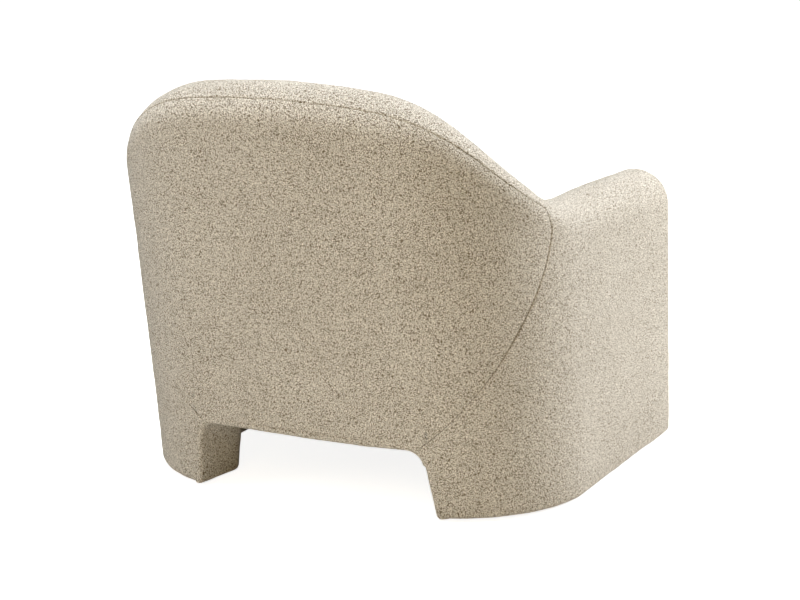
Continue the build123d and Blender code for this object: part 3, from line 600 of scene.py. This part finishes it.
# %% Line of the arch
corner_turn = np.linspace(0, math.pi / 2, 16)[1:]
flank_z = np.linspace(cover_low, arch_top - arch_round, 24)
level_x = np.linspace(arch_top_half - arch_round, 0, 36)[1:]


def mirrored(half, sign):
    """A whole line from its half: the half, then the same backwards, times a sign."""
    return np.concatenate([half, sign * half[-2::-1]])


corner_x = arch_top_half - arch_round * (1 - np.cos(corner_turn))
corner_z = arch_top - arch_round * (1 - np.sin(corner_turn))
edge_x = mirrored(np.concatenate([arch_x(flank_z, 0), corner_x, level_x]), -1)
edge_z = mirrored(np.concatenate([flank_z, corner_z, arch_top + 0 * level_x]), 1)
edge_nx = mirrored(np.concatenate([1 + 0 * flank_z, np.cos(corner_turn), 0 * level_x]), -1)
edge_nz = mirrored(np.concatenate([0 * flank_z, np.sin(corner_turn), 1 + 0 * level_x]), 1)
print("points along the arch:", len(edge_x))

# %% [markdown]
# ## Arch lining
#
# Cloth pulled over foam has no sharp edge, so both borders are smooth bends: from the outer face
# into the lining, and from the lining into the inner face. A Bevel modifier would round every edge
# alike; a quadratic curve lets the inner bend be softer. One more row slips under the panels.

# %% Arch lining
inner_round = 0.032
arch_skew = 0.030
under_reach, under_inset = 0.010, 0.006
lining_rows = 22
pull_first, pull_last = 0.2, 1.6
inner_table = np.linspace(0, corner_run, 2000)
inner_x_table = wall(inner_table, 2 * roll_radius(inner_table), 0 * inner_table)[:, 0]


def on_outer(x, z, inset=0.0):
    """The point of the outer face, or an inset in from it, at x to the side and a height."""
    return wall(np.sign(x) * run_at_x(np.abs(x)), inset + 0 * x, z)


def on_inner(x, z):
    """The point of the inner face, with its step back, at x to the side and a height."""
    run = np.sign(x) * np.interp(np.abs(x), inner_x_table, inner_table)
    return wall(run, 2 * roll_radius(run) - recess(run, z), z)


def bend(start, corner, end, count):
    """A smooth bend between two points that leans towards a corner: a quadratic curve."""
    share = np.linspace(0, 1, count)[:, None, None]
    return start * (1 - share) ** 2 + corner * 2 * share * (1 - share) + end * share**2


inner_x = edge_x - np.sign(edge_x) * np.minimum(arch_skew, np.abs(edge_x))
outer_start = on_outer(edge_x + edge_round * edge_nx, edge_z + edge_round * edge_nz)
under = edge_round + under_reach
under_panel = on_outer(edge_x + under * edge_nx, edge_z + under * edge_nz, under_inset)
outer_edge = on_outer(edge_x, edge_z)
inner_edge = on_inner(inner_x, edge_z)
inner_end = on_inner(inner_x + inner_round * edge_nx, edge_z + inner_round * edge_nz)
way = inner_edge - outer_edge
way = way / np.linalg.norm(way, axis=-1, keepdims=True)
outer_bend = bend(outer_start, outer_edge, outer_edge + edge_round * way, 8)
inner_bend = bend(inner_edge - inner_round * way, inner_edge, inner_end, 10)
share = np.linspace(0, 1, lining_rows)[1:-1, None, None]
flat = outer_bend[-1] * (1 - share) + inner_bend[0] * share
lining_grid = np.concatenate([under_panel[None], outer_bend, flat, inner_bend])
pulled_in = rolled(lining_grid[..., 2] - cover_low, foot_round)
pulled_in = pulled_in * np.linspace(pull_first, pull_last, len(lining_grid))[:, None]
foot_side = np.where(edge_z < arch_top / 2, np.sign(edge_x), 0)
lining_grid[..., 0] += foot_side[None, :] * pulled_in
arch_lining = mesh_piece("arch_lining", [swollen(lining_grid)])
print("arch lining:", len(arch_lining.data.polygons), "faces")

# %% [markdown]
# ## Rear feet, inner side
#
# Under the seat the inner face of the wall carries on round the rear corner to the arch. It is sewn
# to the arm, so both grids go into one mesh. The other arm is the same grid with x turned round;
# that turns its faces inside out, so there the other grid is flipped.

# %% Inner side of the rear feet
foot_tall, foot_lap = 0.13, 0.01
mirror = np.array([-1.0, 1.0, 1.0])

foot_z = cover_low + foot_tall * stops(foot_tall, coarse)
foot_x = arch_x(np.minimum(foot_z, arch_top), inner_round) - arch_skew
foot_end = np.interp(foot_x, inner_x_table, inner_table)[:, None]
start = roll_seam_runs[-1] + foot_lap
runs = start + (foot_end - start) * np.linspace(0, 1, 60)[None, :]
foot_z = foot_z[:, None]
foot_sink = rolled(foot_z - cover_low, foot_round) + recess(runs, foot_z)
foot_grid = wall(runs, 2 * roll_radius(runs) - foot_sink, foot_z + 0 * runs)
arm_left = mesh_piece("arm_sleeve_left", [arm_grid, foot_grid], flip=(1,))
arm_right = mesh_piece("arm_sleeve_right", [arm_grid * mirror, foot_grid * mirror], flip=(0,))
print("arm:", len(arm_left.data.polygons), "faces")

# %% [markdown]
# ## Section of the front border
#
# Below the cushion a padded border runs from arm to arm. Its section is a flat face with a large
# round at the top, where the seat deck begins, and a small one at the bottom. Behind the top round
# the cloth dips, so that the deck lies over it.

# %% Section of the front border
border_y = front_y + 0.015
border_low = arch_top
border_top = 0.236
border_half = half_width - arm_wall
top_round, low_round = 0.024, 0.009
under_y, behind_y, dip_z = (0.060, 0.030), (0.030, 0.036, 0.050), np.array([0.0, 0.003, 0.014])

top_turn = np.linspace(0, math.pi / 2, 14)
low_turn = top_turn[::-1]
face_z = np.linspace(border_low + low_round, border_top - top_round, 22)[1:-1]
profile_y = np.concatenate([under_y, low_round * (1 - np.cos(low_turn)), 0 * face_z,
                            top_round * (1 - np.cos(top_turn)), behind_y])
profile_z = np.concatenate([[border_low] * 2, border_low + low_round * (1 - np.sin(low_turn)),
                            face_z, border_top - top_round * (1 - np.sin(top_turn)),
                            border_top - dip_z])
print("border section:", len(profile_y), "points")

# %% [markdown]
# ## Front border
#
# The section is carried straight across, into both arms, and its face bulges a little between them.
# The last column at each end is drawn together to one point, which closes the form.

# %% Front border
border_reach = border_half + 0.020
border_bulge, core_depth = 0.005, 0.04

border_x = (2 * stops(2 * border_reach, coarse) - 1) * border_reach
border_x = np.pad(border_x, 1, mode="edge")[:, None]
puff = np.clip(1 - (border_x / border_half) ** 8, 0, 1)
climb = np.clip((profile_z - border_low) / (border_top - border_low), 0, 1)
bulge = np.sin(climb * math.pi)[None, :]
open_share = np.ones_like(border_x)
open_share[[0, -1]] = 0
core_y, core_z = border_y + core_depth, (border_low + border_top) / 2
face_y = border_y + profile_y - border_bulge * puff * bulge
points_y = core_y + (face_y - core_y) * open_share
points_z = core_z + (profile_z - core_z) * open_share
border_points = np.stack(np.broadcast_arrays(border_x, points_y, points_z), axis=-1)
border = mesh_piece("front_border_panel", [swollen(border_points, open_share)])
print("front border:", len(border.data.polygons), "faces")

# %% [markdown]
# ## Seat cushion
#
# A loose box cushion: nearly square front corners, large rear corners that follow the back. We start from
# a form a little smaller than the finished cushion. The plan is a rounded outline that shrinks to the
# middle as the surface closes below and above.

# %% Seat cushion
cushion_half = border_half - 0.004
cushion_front = front_y + 0.010
cushion_low = border_top + 0.0003
cushion_side = 0.165
cushion_edge = 0.020
cushion_middle = -0.09
start_gap = 0.006
start_dome = 0.010


def cushion_rear(z):
    """The rear edge of the cushion, which leans with the back."""
    return rear_y + rake * z - back_wall - 0.013


def cushion_plan(turn, z, gap):
    """The cushion's outline: a rectangle with round corners, the rear ones larger, less a gap all round."""
    middle = (cushion_front + cushion_rear(z)) / 2
    reach = (cushion_rear(z) - cushion_front) / 2 - gap
    c, s = np.cos(turn), np.sin(turn)
    power = np.where(s > 0, 4.0, 9.0)
    size = (np.abs(c) ** power + np.abs(s) ** power) ** (-1 / power)
    return (cushion_half - gap) * c * size, middle + reach * s * size


turn = np.linspace(0, 2 * math.pi, 361)[:, None]
edge_turn = np.linspace(0, math.pi / 2, 10)
closing = np.linspace(1, 0, 50)
side_z = np.linspace(cushion_edge, cushion_side - cushion_edge, 26)[1:-1]
reach_in = np.concatenate([closing[::-1], 1 + 0 * edge_turn[1:], 1 + 0 * side_z,
                           1 + 0 * edge_turn, closing[1:]])
inset = np.concatenate([0 * closing + cushion_edge, cushion_edge * (1 - np.sin(edge_turn[1:])),
                        0 * side_z, cushion_edge * (1 - np.cos(edge_turn)),
                        0 * closing[1:] + cushion_edge])
rise = np.concatenate([0 * closing, cushion_edge * (1 - np.cos(edge_turn[1:])), side_z,
                       cushion_side - cushion_edge * (1 - np.sin(edge_turn)),
                       0 * closing[1:] + cushion_side])
dome = np.concatenate([0 * closing, 0 * edge_turn[1:], 0 * side_z, 0 * edge_turn,
                       1 - closing[1:] ** 2])
cushion_z = cushion_low + rise + start_dome * dome
plan_x, plan_y = cushion_plan(turn, cushion_z[None, :], start_gap)
scale = reach_in * (1 - inset / cushion_half)
from_middle = (plan_y - cushion_middle) * scale
cushion_points = np.broadcast_arrays(plan_x * scale, cushion_middle + from_middle, cushion_z)
cushion_start = mesh_piece("cushion_start", [np.stack(cushion_points, axis=-1)])
print("cushion before it swells:", len(cushion_start.data.polygons), "faces")

# %% [markdown]
# ### Letting the cushion swell
#
# Foam pushes a cover out in the middle of each panel and the cover's edges are pulled in between the
# corners. A short cloth simulation with air pressure gives that shape. The mesh is first remeshed into even
# squares. No point may move further than a cap, so the cushion keeps its size, and the moves are averaged
# between neighbours many times, because thick cloth over firm foam doesn't hold small wrinkles.

# %% Cushion swell
def points_of(mesh):
    """The vertices of a mesh as an array."""
    flat_list = np.empty(len(mesh.vertices) * 3, dtype=np.float32)
    mesh.vertices.foreach_get("co", flat_list)
    return flat_list.reshape(-1, 3).astype(float)


def evaluated_mesh(piece):
    """A new mesh of a piece with its modifiers applied."""
    graph = bpy.context.evaluated_depsgraph_get()
    return bpy.data.meshes.new_from_object(piece.evaluated_get(graph))


def set_points(mesh, points):
    """Write an array of points back into a mesh."""
    mesh.vertices.foreach_set("co", points.astype(np.float32).ravel())
    mesh.update()


voxels = cushion_start.modifiers.new("voxels", "REMESH")
voxels.mode = "VOXEL"
voxels.voxel_size = 0.006
voxels.use_smooth_shade = True
cushion = bpy.data.objects.new("seat_cushion_cover", evaluated_mesh(cushion_start))
bpy.context.scene.collection.objects.link(cushion)
bpy.data.objects.remove(cushion_start)
before = points_of(cushion.data)
moved = np.zeros_like(before)
last_frame = 20
swell = cushion.modifiers.new("swell", "CLOTH")
swell.settings.use_pressure = True
swell.settings.uniform_pressure_force = 4.0
swell.settings.tension_stiffness = swell.settings.compression_stiffness = 40.0
swell.settings.bending_stiffness = 10.0
swell.settings.effector_weights.gravity = 0.0
swell.point_cache.frame_start, swell.point_cache.frame_end = 1, last_frame
for step in range(1, last_frame + 1):
    bpy.context.scene.frame_set(step)
moved = points_of(evaluated_mesh(cushion)) - before
cushion.modifiers.remove(swell)
bpy.context.scene.frame_set(1)
reach = np.linalg.norm(moved, axis=1, keepdims=True)
cap = 0.022
averaging_passes = 160
moved = moved * np.minimum(1, cap / np.maximum(reach, 1e-9))
pairs = np.empty(len(cushion.data.edges) * 2, dtype=np.int32)
cushion.data.edges.foreach_get("vertices", pairs)
one, other = pairs.reshape(-1, 2).T
links_at = np.bincount(pairs, minlength=len(before))[:, None]
for step in range(averaging_passes):
    sums = [np.bincount(one, moved[other, way], len(before))
            + np.bincount(other, moved[one, way], len(before)) for way in range(3)]
    moved = (moved + np.stack(sums, axis=1) / links_at) / 2
after = before + moved
print("cushion swell: largest move", round(float(reach.max()) * 1000, 1), "mm, capped at", cap * 1000)

# %% [markdown]
# ### Fitting and seams
#
# The swollen cushion is kept clear of the arms and the back and made flat underneath, where it rests. The
# height of each point before the swell is stored on the mesh, so that after one subdivision we still know
# where the cover's two welt seams lie, and can draw them in. A shallow pocket at the rear takes the zip.

# %% Cushion seams
groove_width, groove_depth = 0.004, 0.003
pocket_depth, pocket_edge = 0.004, 0.008
rest_height = cushion.data.attributes.new("rest_height", "FLOAT", "POINT")
rest_height.data.foreach_set("value", (before[:, 2] - cushion_low).astype(np.float32))
set_points(cushion.data, after)
even = cushion.modifiers.new("even", "SMOOTH")
even.factor, even.iterations = 0.5, 4
finer = cushion.modifiers.new("finer", "SUBSURF")
finer.levels = finer.render_levels = 1
cushion.data = evaluated_mesh(cushion)
cushion.modifiers.clear()
points = points_of(cushion.data)
rest_rise = np.empty(len(points), dtype=np.float32)
cushion.data.attributes["rest_height"].data.foreach_get("value", rest_rise)
normals = np.empty(len(points) * 3, dtype=np.float32)
cushion.data.vertices.foreach_get("normal", normals)
seam_low, seam_high = 0.3 * cushion_edge, cushion_side - 0.3 * cushion_edge
groove = np.exp(-(((rest_rise - seam_low) / groove_width) ** 2))
groove = groove + np.exp(-(((rest_rise - seam_high) / groove_width) ** 2))
points = points - groove_depth * np.minimum(groove, 1)[:, None] * normals.reshape(-1, 3)
zip_low, zip_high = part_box("cushion_zip_tapes")
beyond = np.maximum(np.maximum(zip_low[0] - points[:, 0], points[:, 0] - zip_high[0]),
                    np.maximum(zip_low[2] - points[:, 2], points[:, 2] - zip_high[2]))
pocket = pocket_depth * stepped(1 - beyond / pocket_edge)
points[:, 0] = np.clip(points[:, 0], -cushion_half, cushion_half)
points[:, 1] = np.clip(points[:, 1], cushion_front, cushion_rear(points[:, 2]) - pocket)
points[:, 2] = np.clip(points[:, 2], cushion_low, None)
set_points(cushion.data, points)
cushion.data.attributes.remove(cushion.data.attributes["rest_height"])
print("seat cushion:", len(cushion.data.polygons), "faces, top at", round(float(points[:, 2].max()), 3))

# %% [markdown]
# ## Deck cloth and dust cover
#
# Two plain cloths close the seat: one on the springs, under the cushion, and one under the whole seat.

# %% Deck cloth and dust cover
def cloth_over(node, name, dip):
    """A cloth over the box of a CAD node, dipping as a half sine wave both ways."""
    low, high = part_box(node)
    x = np.linspace(low[0], high[0], 120)[:, None]
    y = np.linspace(low[1], high[1], 110)[None, :]
    share_x, share_y = (x - low[0]) / (high[0] - low[0]), (y - low[1]) / (high[1] - low[1])
    sag = np.sin(share_x * math.pi) * np.sin(share_y * math.pi)
    return mesh_piece(name, [np.stack(np.broadcast_arrays(x, y, high[2] - dip * sag), axis=-1)])


deck = cloth_over("deck_cloth", "deck_cloth_sheet", 0.0012)
dust = cloth_over("dust_cover", "dust_cover_sheet", 0.001)
print("sheets:", len(deck.data.polygons), "and", len(dust.data.polygons), "faces")

# %% [markdown]
# ## Bouclé
#
# Bouclé yarn is spun with loops, so the cloth is a dense field of soft curls. At this size they are
# about two millimetres across. We let cells stand for the curls, bend the cells with noise, and use the same
# height for the bump and for the colour. The colour is painted shade: the gaps between curls, where less
# light falls, are painted darker, while fibre and nap noise add the yarn's own tone.

# %% Bouclé material
def new_material(name):
    """A new material; returns it with its nodes, its links and its shader."""
    material = bpy.data.materials.new(name)
    material.use_nodes = True
    nodes, links = material.node_tree.nodes, material.node_tree.links
    return material, nodes, links, nodes["Principled BSDF"]


def ramp(nodes, links, source, stops_at):
    """A colour ramp fed by a value; stops_at lists (place, colour)."""
    made = nodes.new("ShaderNodeValToRGB")
    made.color_ramp.elements[0].position, made.color_ramp.elements[0].color = stops_at[0]
    made.color_ramp.elements[1].position, made.color_ramp.elements[1].color = stops_at[-1]
    for place, colour in stops_at[1:-1]:
        made.color_ramp.elements.new(place).color = colour
    links.new(source, made.inputs["Fac"])
    return made.outputs["Color"]


def noise(nodes, links, place, scale, detail, distortion=0.0):
    """A noise texture on a place; returns the node."""
    made = nodes.new("ShaderNodeTexNoise")
    made.inputs["Scale"].default_value = scale
    made.inputs["Detail"].default_value = detail
    made.inputs["Distortion"].default_value = distortion
    links.new(place, made.inputs["Vector"])
    return made


def maths(nodes, links, how, one, two):
    """A maths node on two sockets or numbers; returns its value."""
    made = nodes.new("ShaderNodeMath")
    made.operation = how
    for socket, value in zip(made.inputs, (one, two)):
        if isinstance(value, (int, float)):
            socket.default_value = value
        else:
            links.new(value, socket)
    return made.outputs["Value"]


def boucle(name, light, dark):
    """Looped-yarn cloth: warped cells for the curls, with painted shade in the gaps between them; fine noise
    for fibres, broad noise for nap.
    """
    material, nodes, links, shader = new_material(name)
    place = nodes.new("ShaderNodeTexCoord").outputs["Object"]
    warp = noise(nodes, links, place, 300, 1)
    moved = nodes.new("ShaderNodeMixRGB")
    moved.blend_type = "LINEAR_LIGHT"
    moved.inputs["Fac"].default_value = 0.0018
    links.new(place, moved.inputs["Color1"])
    links.new(warp.outputs["Color"], moved.inputs["Color2"])
    cells = nodes.new("ShaderNodeTexVoronoi")
    cells.inputs["Scale"].default_value = 550
    links.new(moved.outputs["Color"], cells.inputs["Vector"])
    curl = maths(nodes, links, "SUBTRACT", 1.0, cells.outputs["Distance"])
    fibre = noise(nodes, links, moved.outputs["Color"], 900, 2, 0.6).outputs["Fac"]
    nap = noise(nodes, links, place, 7, 2).outputs["Fac"]
    height = maths(nodes, links, "MULTIPLY", curl, 0.80)
    height = maths(nodes, links, "ADD", height, maths(nodes, links, "MULTIPLY", fibre, 0.35))
    painted_shade_and_tone = maths(nodes, links, "ADD", height, maths(nodes, links, "MULTIPLY", nap, 0.06))
    painted_shade_and_tone = maths(nodes, links, "SUBTRACT", painted_shade_and_tone, 0.03)
    # Painted shade: the ramp gives the low parts between curls the dark colour; the fibre and nap terms add
    # the yarn's own tone.
    links.new(ramp(nodes, links, painted_shade_and_tone, [(0.34, dark), (0.80, light)]), shader.inputs["Base Color"])
    bump = nodes.new("ShaderNodeBump")
    bump.inputs["Strength"].default_value = 1.0
    bump.inputs["Distance"].default_value = 0.0015
    links.new(height, bump.inputs["Height"])
    links.new(bump.outputs["Normal"], shader.inputs["Normal"])
    shader.inputs["Roughness"].default_value = 0.95
    shader.inputs["Specular IOR Level"].default_value = 0.1
    shader.inputs["Sheen Weight"].default_value = 0.08
    shader.inputs["Sheen Roughness"].default_value = 0.45
    return material


# The dark colour is painted shade for the gaps between curls; the light one is the yarn's own colour.
cloth = boucle("boucle_cloth", (0.91, 0.84, 0.735, 1), (0.14, 0.102, 0.058, 1))
print("cloth nodes:", len(cloth.node_tree.nodes))

# %% [markdown]
# ## Frame materials
#
# The frame hides inside the padding, yet each piece still gets its own surface: grain for the wood, a
# brushed sheen for the springs, a weave for the cloths.

# %% Frame materials
def wood(name, light, dark, stretch):
    """Wood grain: noise drawn out along one axis, as bands of two browns."""
    material, nodes, links, shader = new_material(name)
    place = nodes.new("ShaderNodeTexCoord").outputs["Object"]
    mapping = nodes.new("ShaderNodeMapping")
    mapping.inputs["Scale"].default_value = stretch
    links.new(place, mapping.inputs["Vector"])
    grain = noise(nodes, links, mapping.outputs["Vector"], 60, 5, 1.2).outputs["Fac"]
    links.new(ramp(nodes, links, grain, [(0.35, dark), (0.65, light)]), shader.inputs["Base Color"])
    bump = nodes.new("ShaderNodeBump")
    bump.inputs["Strength"].default_value = 0.15
    bump.inputs["Distance"].default_value = 0.001
    links.new(grain, bump.inputs["Height"])
    links.new(bump.outputs["Normal"], shader.inputs["Normal"])
    shader.inputs["Roughness"].default_value = 0.65
    return material


def woven(name, light, dark, threads):
    """Plain weave: two crossing waves, plus noise, in two shades."""
    material, nodes, links, shader = new_material(name)
    place = nodes.new("ShaderNodeTexCoord").outputs["Object"]
    waves = []
    for way in ("X", "Y"):
        wave = nodes.new("ShaderNodeTexWave")
        wave.bands_direction = way
        wave.inputs["Scale"].default_value = threads
        wave.inputs["Distortion"].default_value = 0.4
        links.new(place, wave.inputs["Vector"])
        waves.append(wave.outputs["Fac"])
    weave = maths(nodes, links, "MULTIPLY", waves[0], waves[1])
    links.new(ramp(nodes, links, weave, [(0.1, dark), (0.7, light)]), shader.inputs["Base Color"])
    bump = nodes.new("ShaderNodeBump")
    bump.inputs["Strength"].default_value = 0.3
    bump.inputs["Distance"].default_value = 0.0005
    links.new(weave, bump.inputs["Height"])
    links.new(bump.outputs["Normal"], shader.inputs["Normal"])
    shader.inputs["Roughness"].default_value = 0.9
    return material


def speckled(name, light, dark, grain_scale, metal, rough):
    """A plain stock with fine speckle: metal, plastic, foam or board."""
    material, nodes, links, shader = new_material(name)
    place = nodes.new("ShaderNodeTexCoord").outputs["Object"]
    speck = noise(nodes, links, place, grain_scale, 3).outputs["Fac"]
    links.new(ramp(nodes, links, speck, [(0.35, dark), (0.65, light)]), shader.inputs["Base Color"])
    shader.inputs["Metallic"].default_value = metal
    wear = noise(nodes, links, place, grain_scale / 8, 2).outputs["Fac"]
    worn = maths(nodes, links, "ADD", maths(nodes, links, "MULTIPLY", wear, 0.2), rough)
    links.new(worn, shader.inputs["Roughness"])
    return material


finishes = {
    "plywood": wood("plywood_stock", (0.62, 0.46, 0.27, 1), (0.48, 0.33, 0.17, 1), (1, 12, 12)),
    "hardwood": wood("hardwood_stock", (0.52, 0.36, 0.20, 1), (0.38, 0.24, 0.12, 1), (1.5, 14, 14)),
    "fibreboard": speckled("board_stock", (0.36, 0.26, 0.16, 1), (0.28, 0.19, 0.11, 1), 300, 0.0, 0.75),
    "foam": speckled("foam_stock", (0.80, 0.72, 0.48, 1), (0.70, 0.60, 0.36, 1), 500, 0.0, 0.85),
    "felt": speckled("felt_stock", (0.45, 0.44, 0.42, 1), (0.35, 0.34, 0.32, 1), 400, 0.0, 0.85),
    "steel": speckled("steel_stock", (0.50, 0.50, 0.51, 1), (0.36, 0.36, 0.37, 1), 250, 1.0, 0.28),
    "nylon": speckled("nylon_stock", (0.05, 0.05, 0.05, 1), (0.03, 0.03, 0.03, 1), 300, 0.0, 0.4),
    "webbing": woven("webbing_stock", (0.10, 0.09, 0.08, 1), (0.03, 0.03, 0.03, 1), 180),
    "deck_cloth": woven("deck_cloth_stock", (0.55, 0.50, 0.42, 1), (0.38, 0.34, 0.28, 1), 220),
    "dust_cloth": woven("dust_cloth_stock", (0.06, 0.06, 0.06, 1), (0.02, 0.02, 0.02, 1), 260),
    "zip_tape": woven("zip_tape_stock", (0.58, 0.52, 0.43, 1), (0.42, 0.36, 0.28, 1), 400),
    "zip_metal": speckled("zip_metal_stock", (0.62, 0.58, 0.50, 1), (0.50, 0.46, 0.38, 1), 500, 1.0, 0.3),
}

# %% [markdown]
# ## Giving each piece its place
#
# A cover rides on the body it is sewn to and stands for the CAD solids that it hides.

# %% Ride and replace
stands_for = {
    outside_back: ("chair", 0.8, ("outside_back_cover", "back_foam")),
    top_band: ("chair", 0.8, ("back_top_band",)),
    inside_back: ("chair", 0.8, ("inside_back_cover",)),
    arm_left: ("chair", 0.8, ("arm_cover_left", "arm_foam_left")),
    arm_right: ("chair", 0.8, ("arm_cover_right", "arm_foam_right")),
    arch_lining: ("chair", 0.8, ()),
    border: ("chair", 0.8, ("front_border_cover", "front_border_pad")),
    cushion: ("seat_cushion", 0.7, ("cushion_cover", "cushion_foam")),
}
for piece, (body, fill, nodes_hidden) in stands_for.items():
    piece.data.materials.append(cloth)
    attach(piece, body)
    if nodes_hidden:
        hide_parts(*nodes_hidden)

for piece, node, slot in ((deck, "deck_cloth", "deck_cloth"), (dust, "dust_cover", "dust_cloth")):
    piece.data.materials.append(finishes[slot])
    low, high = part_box(node)
    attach(piece, "chair")
    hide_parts(node)
    flat = (high[0] - low[0], high[1] - low[1])

for part in frame["record"]["subparts"]:
    node = frame["nodes"][part["node"]]
    if part["material_slot"] in finishes:
        node.data.materials.clear()
        node.data.materials.append(finishes[part["material_slot"]])

# %% [markdown]
# ## Floor
#
# A plain pale floor that fades to white away from the chair. Only the rays that show the backdrop see
# that glow, so the floor still takes the chair's shadow and throws no extra light on it.

# %% Floor
def background_rays(nodes, links):
    """1 for the rays that show the backdrop, in the camera, in metal or through glass; 0 for all others."""
    rays = nodes.new("ShaderNodeLightPath").outputs
    shown = maths(nodes, links, "MAXIMUM", rays["Is Camera Ray"], rays["Is Glossy Ray"])
    return maths(nodes, links, "MAXIMUM", shown, rays["Is Transmission Ray"])


floor_mesh = bpy.data.meshes.new("studio_floor")
floor_mesh.from_pydata([(-30, -30, 0), (30, -30, 0), (30, 30, 0), (-30, 30, 0)], [], [(0, 1, 2, 3)])
floor = bpy.data.objects.new("studio_floor", floor_mesh)
bpy.context.scene.collection.objects.link(floor)
floor_material, nodes, links, shader = new_material("studio_floor_paint")
shader.inputs["Base Color"].default_value = (0.79, 0.77, 0.72, 1)
shader.inputs["Roughness"].default_value = 1.0
shader.inputs["Specular IOR Level"].default_value = 0.0
seen = background_rays(nodes, links)
shader.inputs["Emission Color"].default_value = (1, 1, 1, 1)
place = nodes.new("ShaderNodeTexCoord").outputs["Object"]
spread_out = nodes.new("ShaderNodeVectorMath")
spread_out.operation = "LENGTH"
links.new(place, spread_out.inputs[0])
fade = maths(nodes, links, "MULTIPLY", spread_out.outputs["Value"], 0.10)
lift = maths(nodes, links, "MINIMUM", maths(nodes, links, "ADD", fade, 0.86), 1.0)
links.new(maths(nodes, links, "MULTIPLY", seen, lift), shader.inputs["Emission Strength"])
floor.data.materials.append(floor_material)
print("floor half width:", floor_mesh.vertices[2].co.x)

# %% [markdown]
# ## Light
#
# Plain studio light: five soft square lamps round the chair, a cool one on the arm's side and a warm
# fill from behind. The world is white for the rays that show the backdrop and nearly dark otherwise, so
# that the lamps alone shape the padding.

# %% Light
world = bpy.data.worlds.new("studio_air")
bpy.context.scene.world = world
world.use_nodes = True
nodes, links = world.node_tree.nodes, world.node_tree.links
nodes["Background"].inputs["Color"].default_value = (1, 1, 1, 1)
seen = background_rays(nodes, links)
glow = maths(nodes, links, "ADD", maths(nodes, links, "MULTIPLY", seen, 0.96), 0.04)
links.new(glow, nodes["Background"].inputs["Strength"])


def softbox(name, place, size, power, colour):
    """A square area lamp at a place, turned to the middle of the chair."""
    lamp = bpy.data.lights.new(name, "AREA")
    lamp.size = size
    lamp.energy = power
    lamp.color = colour
    made = bpy.data.objects.new(name, lamp)
    made.location = place
    way = mathutils.Vector((0, 0, 0.35)) - mathutils.Vector(place)
    made.rotation_mode = "QUATERNION"
    made.rotation_quaternion = way.to_track_quat("-Z", "Y")
    bpy.context.scene.collection.objects.link(made)
    return made


softbox("key", (-2.3, -1.7, 1.7), 1.2, 89, (0.90, 0.95, 1.0))
softbox("side", (-2.0, -3.0, 2.2), 1.6, 59, (1.0, 0.96, 0.92))
softbox("top", (0.3, 0.9, 3.3), 1.6, 112, (0.90, 0.95, 1.0))
softbox("fill", (-1.6, 4.0, 1.7), 2.2, 48, (1.0, 0.78, 0.42))
softbox("rim", (2.6, 2.6, 1.9), 1.6, 38, (0.95, 0.97, 1.0))

print("lamps:", len(bpy.data.lights))

# %% [markdown]
# ## Camera
#
# The camera looks from behind and a little above, as in the photograph. Its direction is given by two
# angles and its lens by the focal length in pixels of a picture 800 pixels wide.

# %% Camera
camera_azimuth = math.radians(205.49)
camera_height = math.radians(13.63)
distance = 4.5
away = np.array([math.sin(camera_azimuth) * math.cos(camera_height),
                 -math.cos(camera_azimuth) * math.cos(camera_height), math.sin(camera_height)])
aim = np.array([0, -0.0571, 0.2856])
lens = bpy.data.cameras.new("photo_camera")
lens.sensor_width = 36
lens.lens = 2514.7 / 800 * 36
camera = bpy.data.objects.new("photo_camera", lens)
camera.location = aim + away * distance
camera.rotation_mode = "QUATERNION"
camera.rotation_quaternion = mathutils.Vector(-away).to_track_quat("-Z", "Y")
bpy.context.scene.collection.objects.link(camera)
bpy.context.scene.camera = camera
bpy.context.scene.view_settings.view_transform = "Standard"

print("camera stands at", [round(float(part), 3) for part in camera.location])
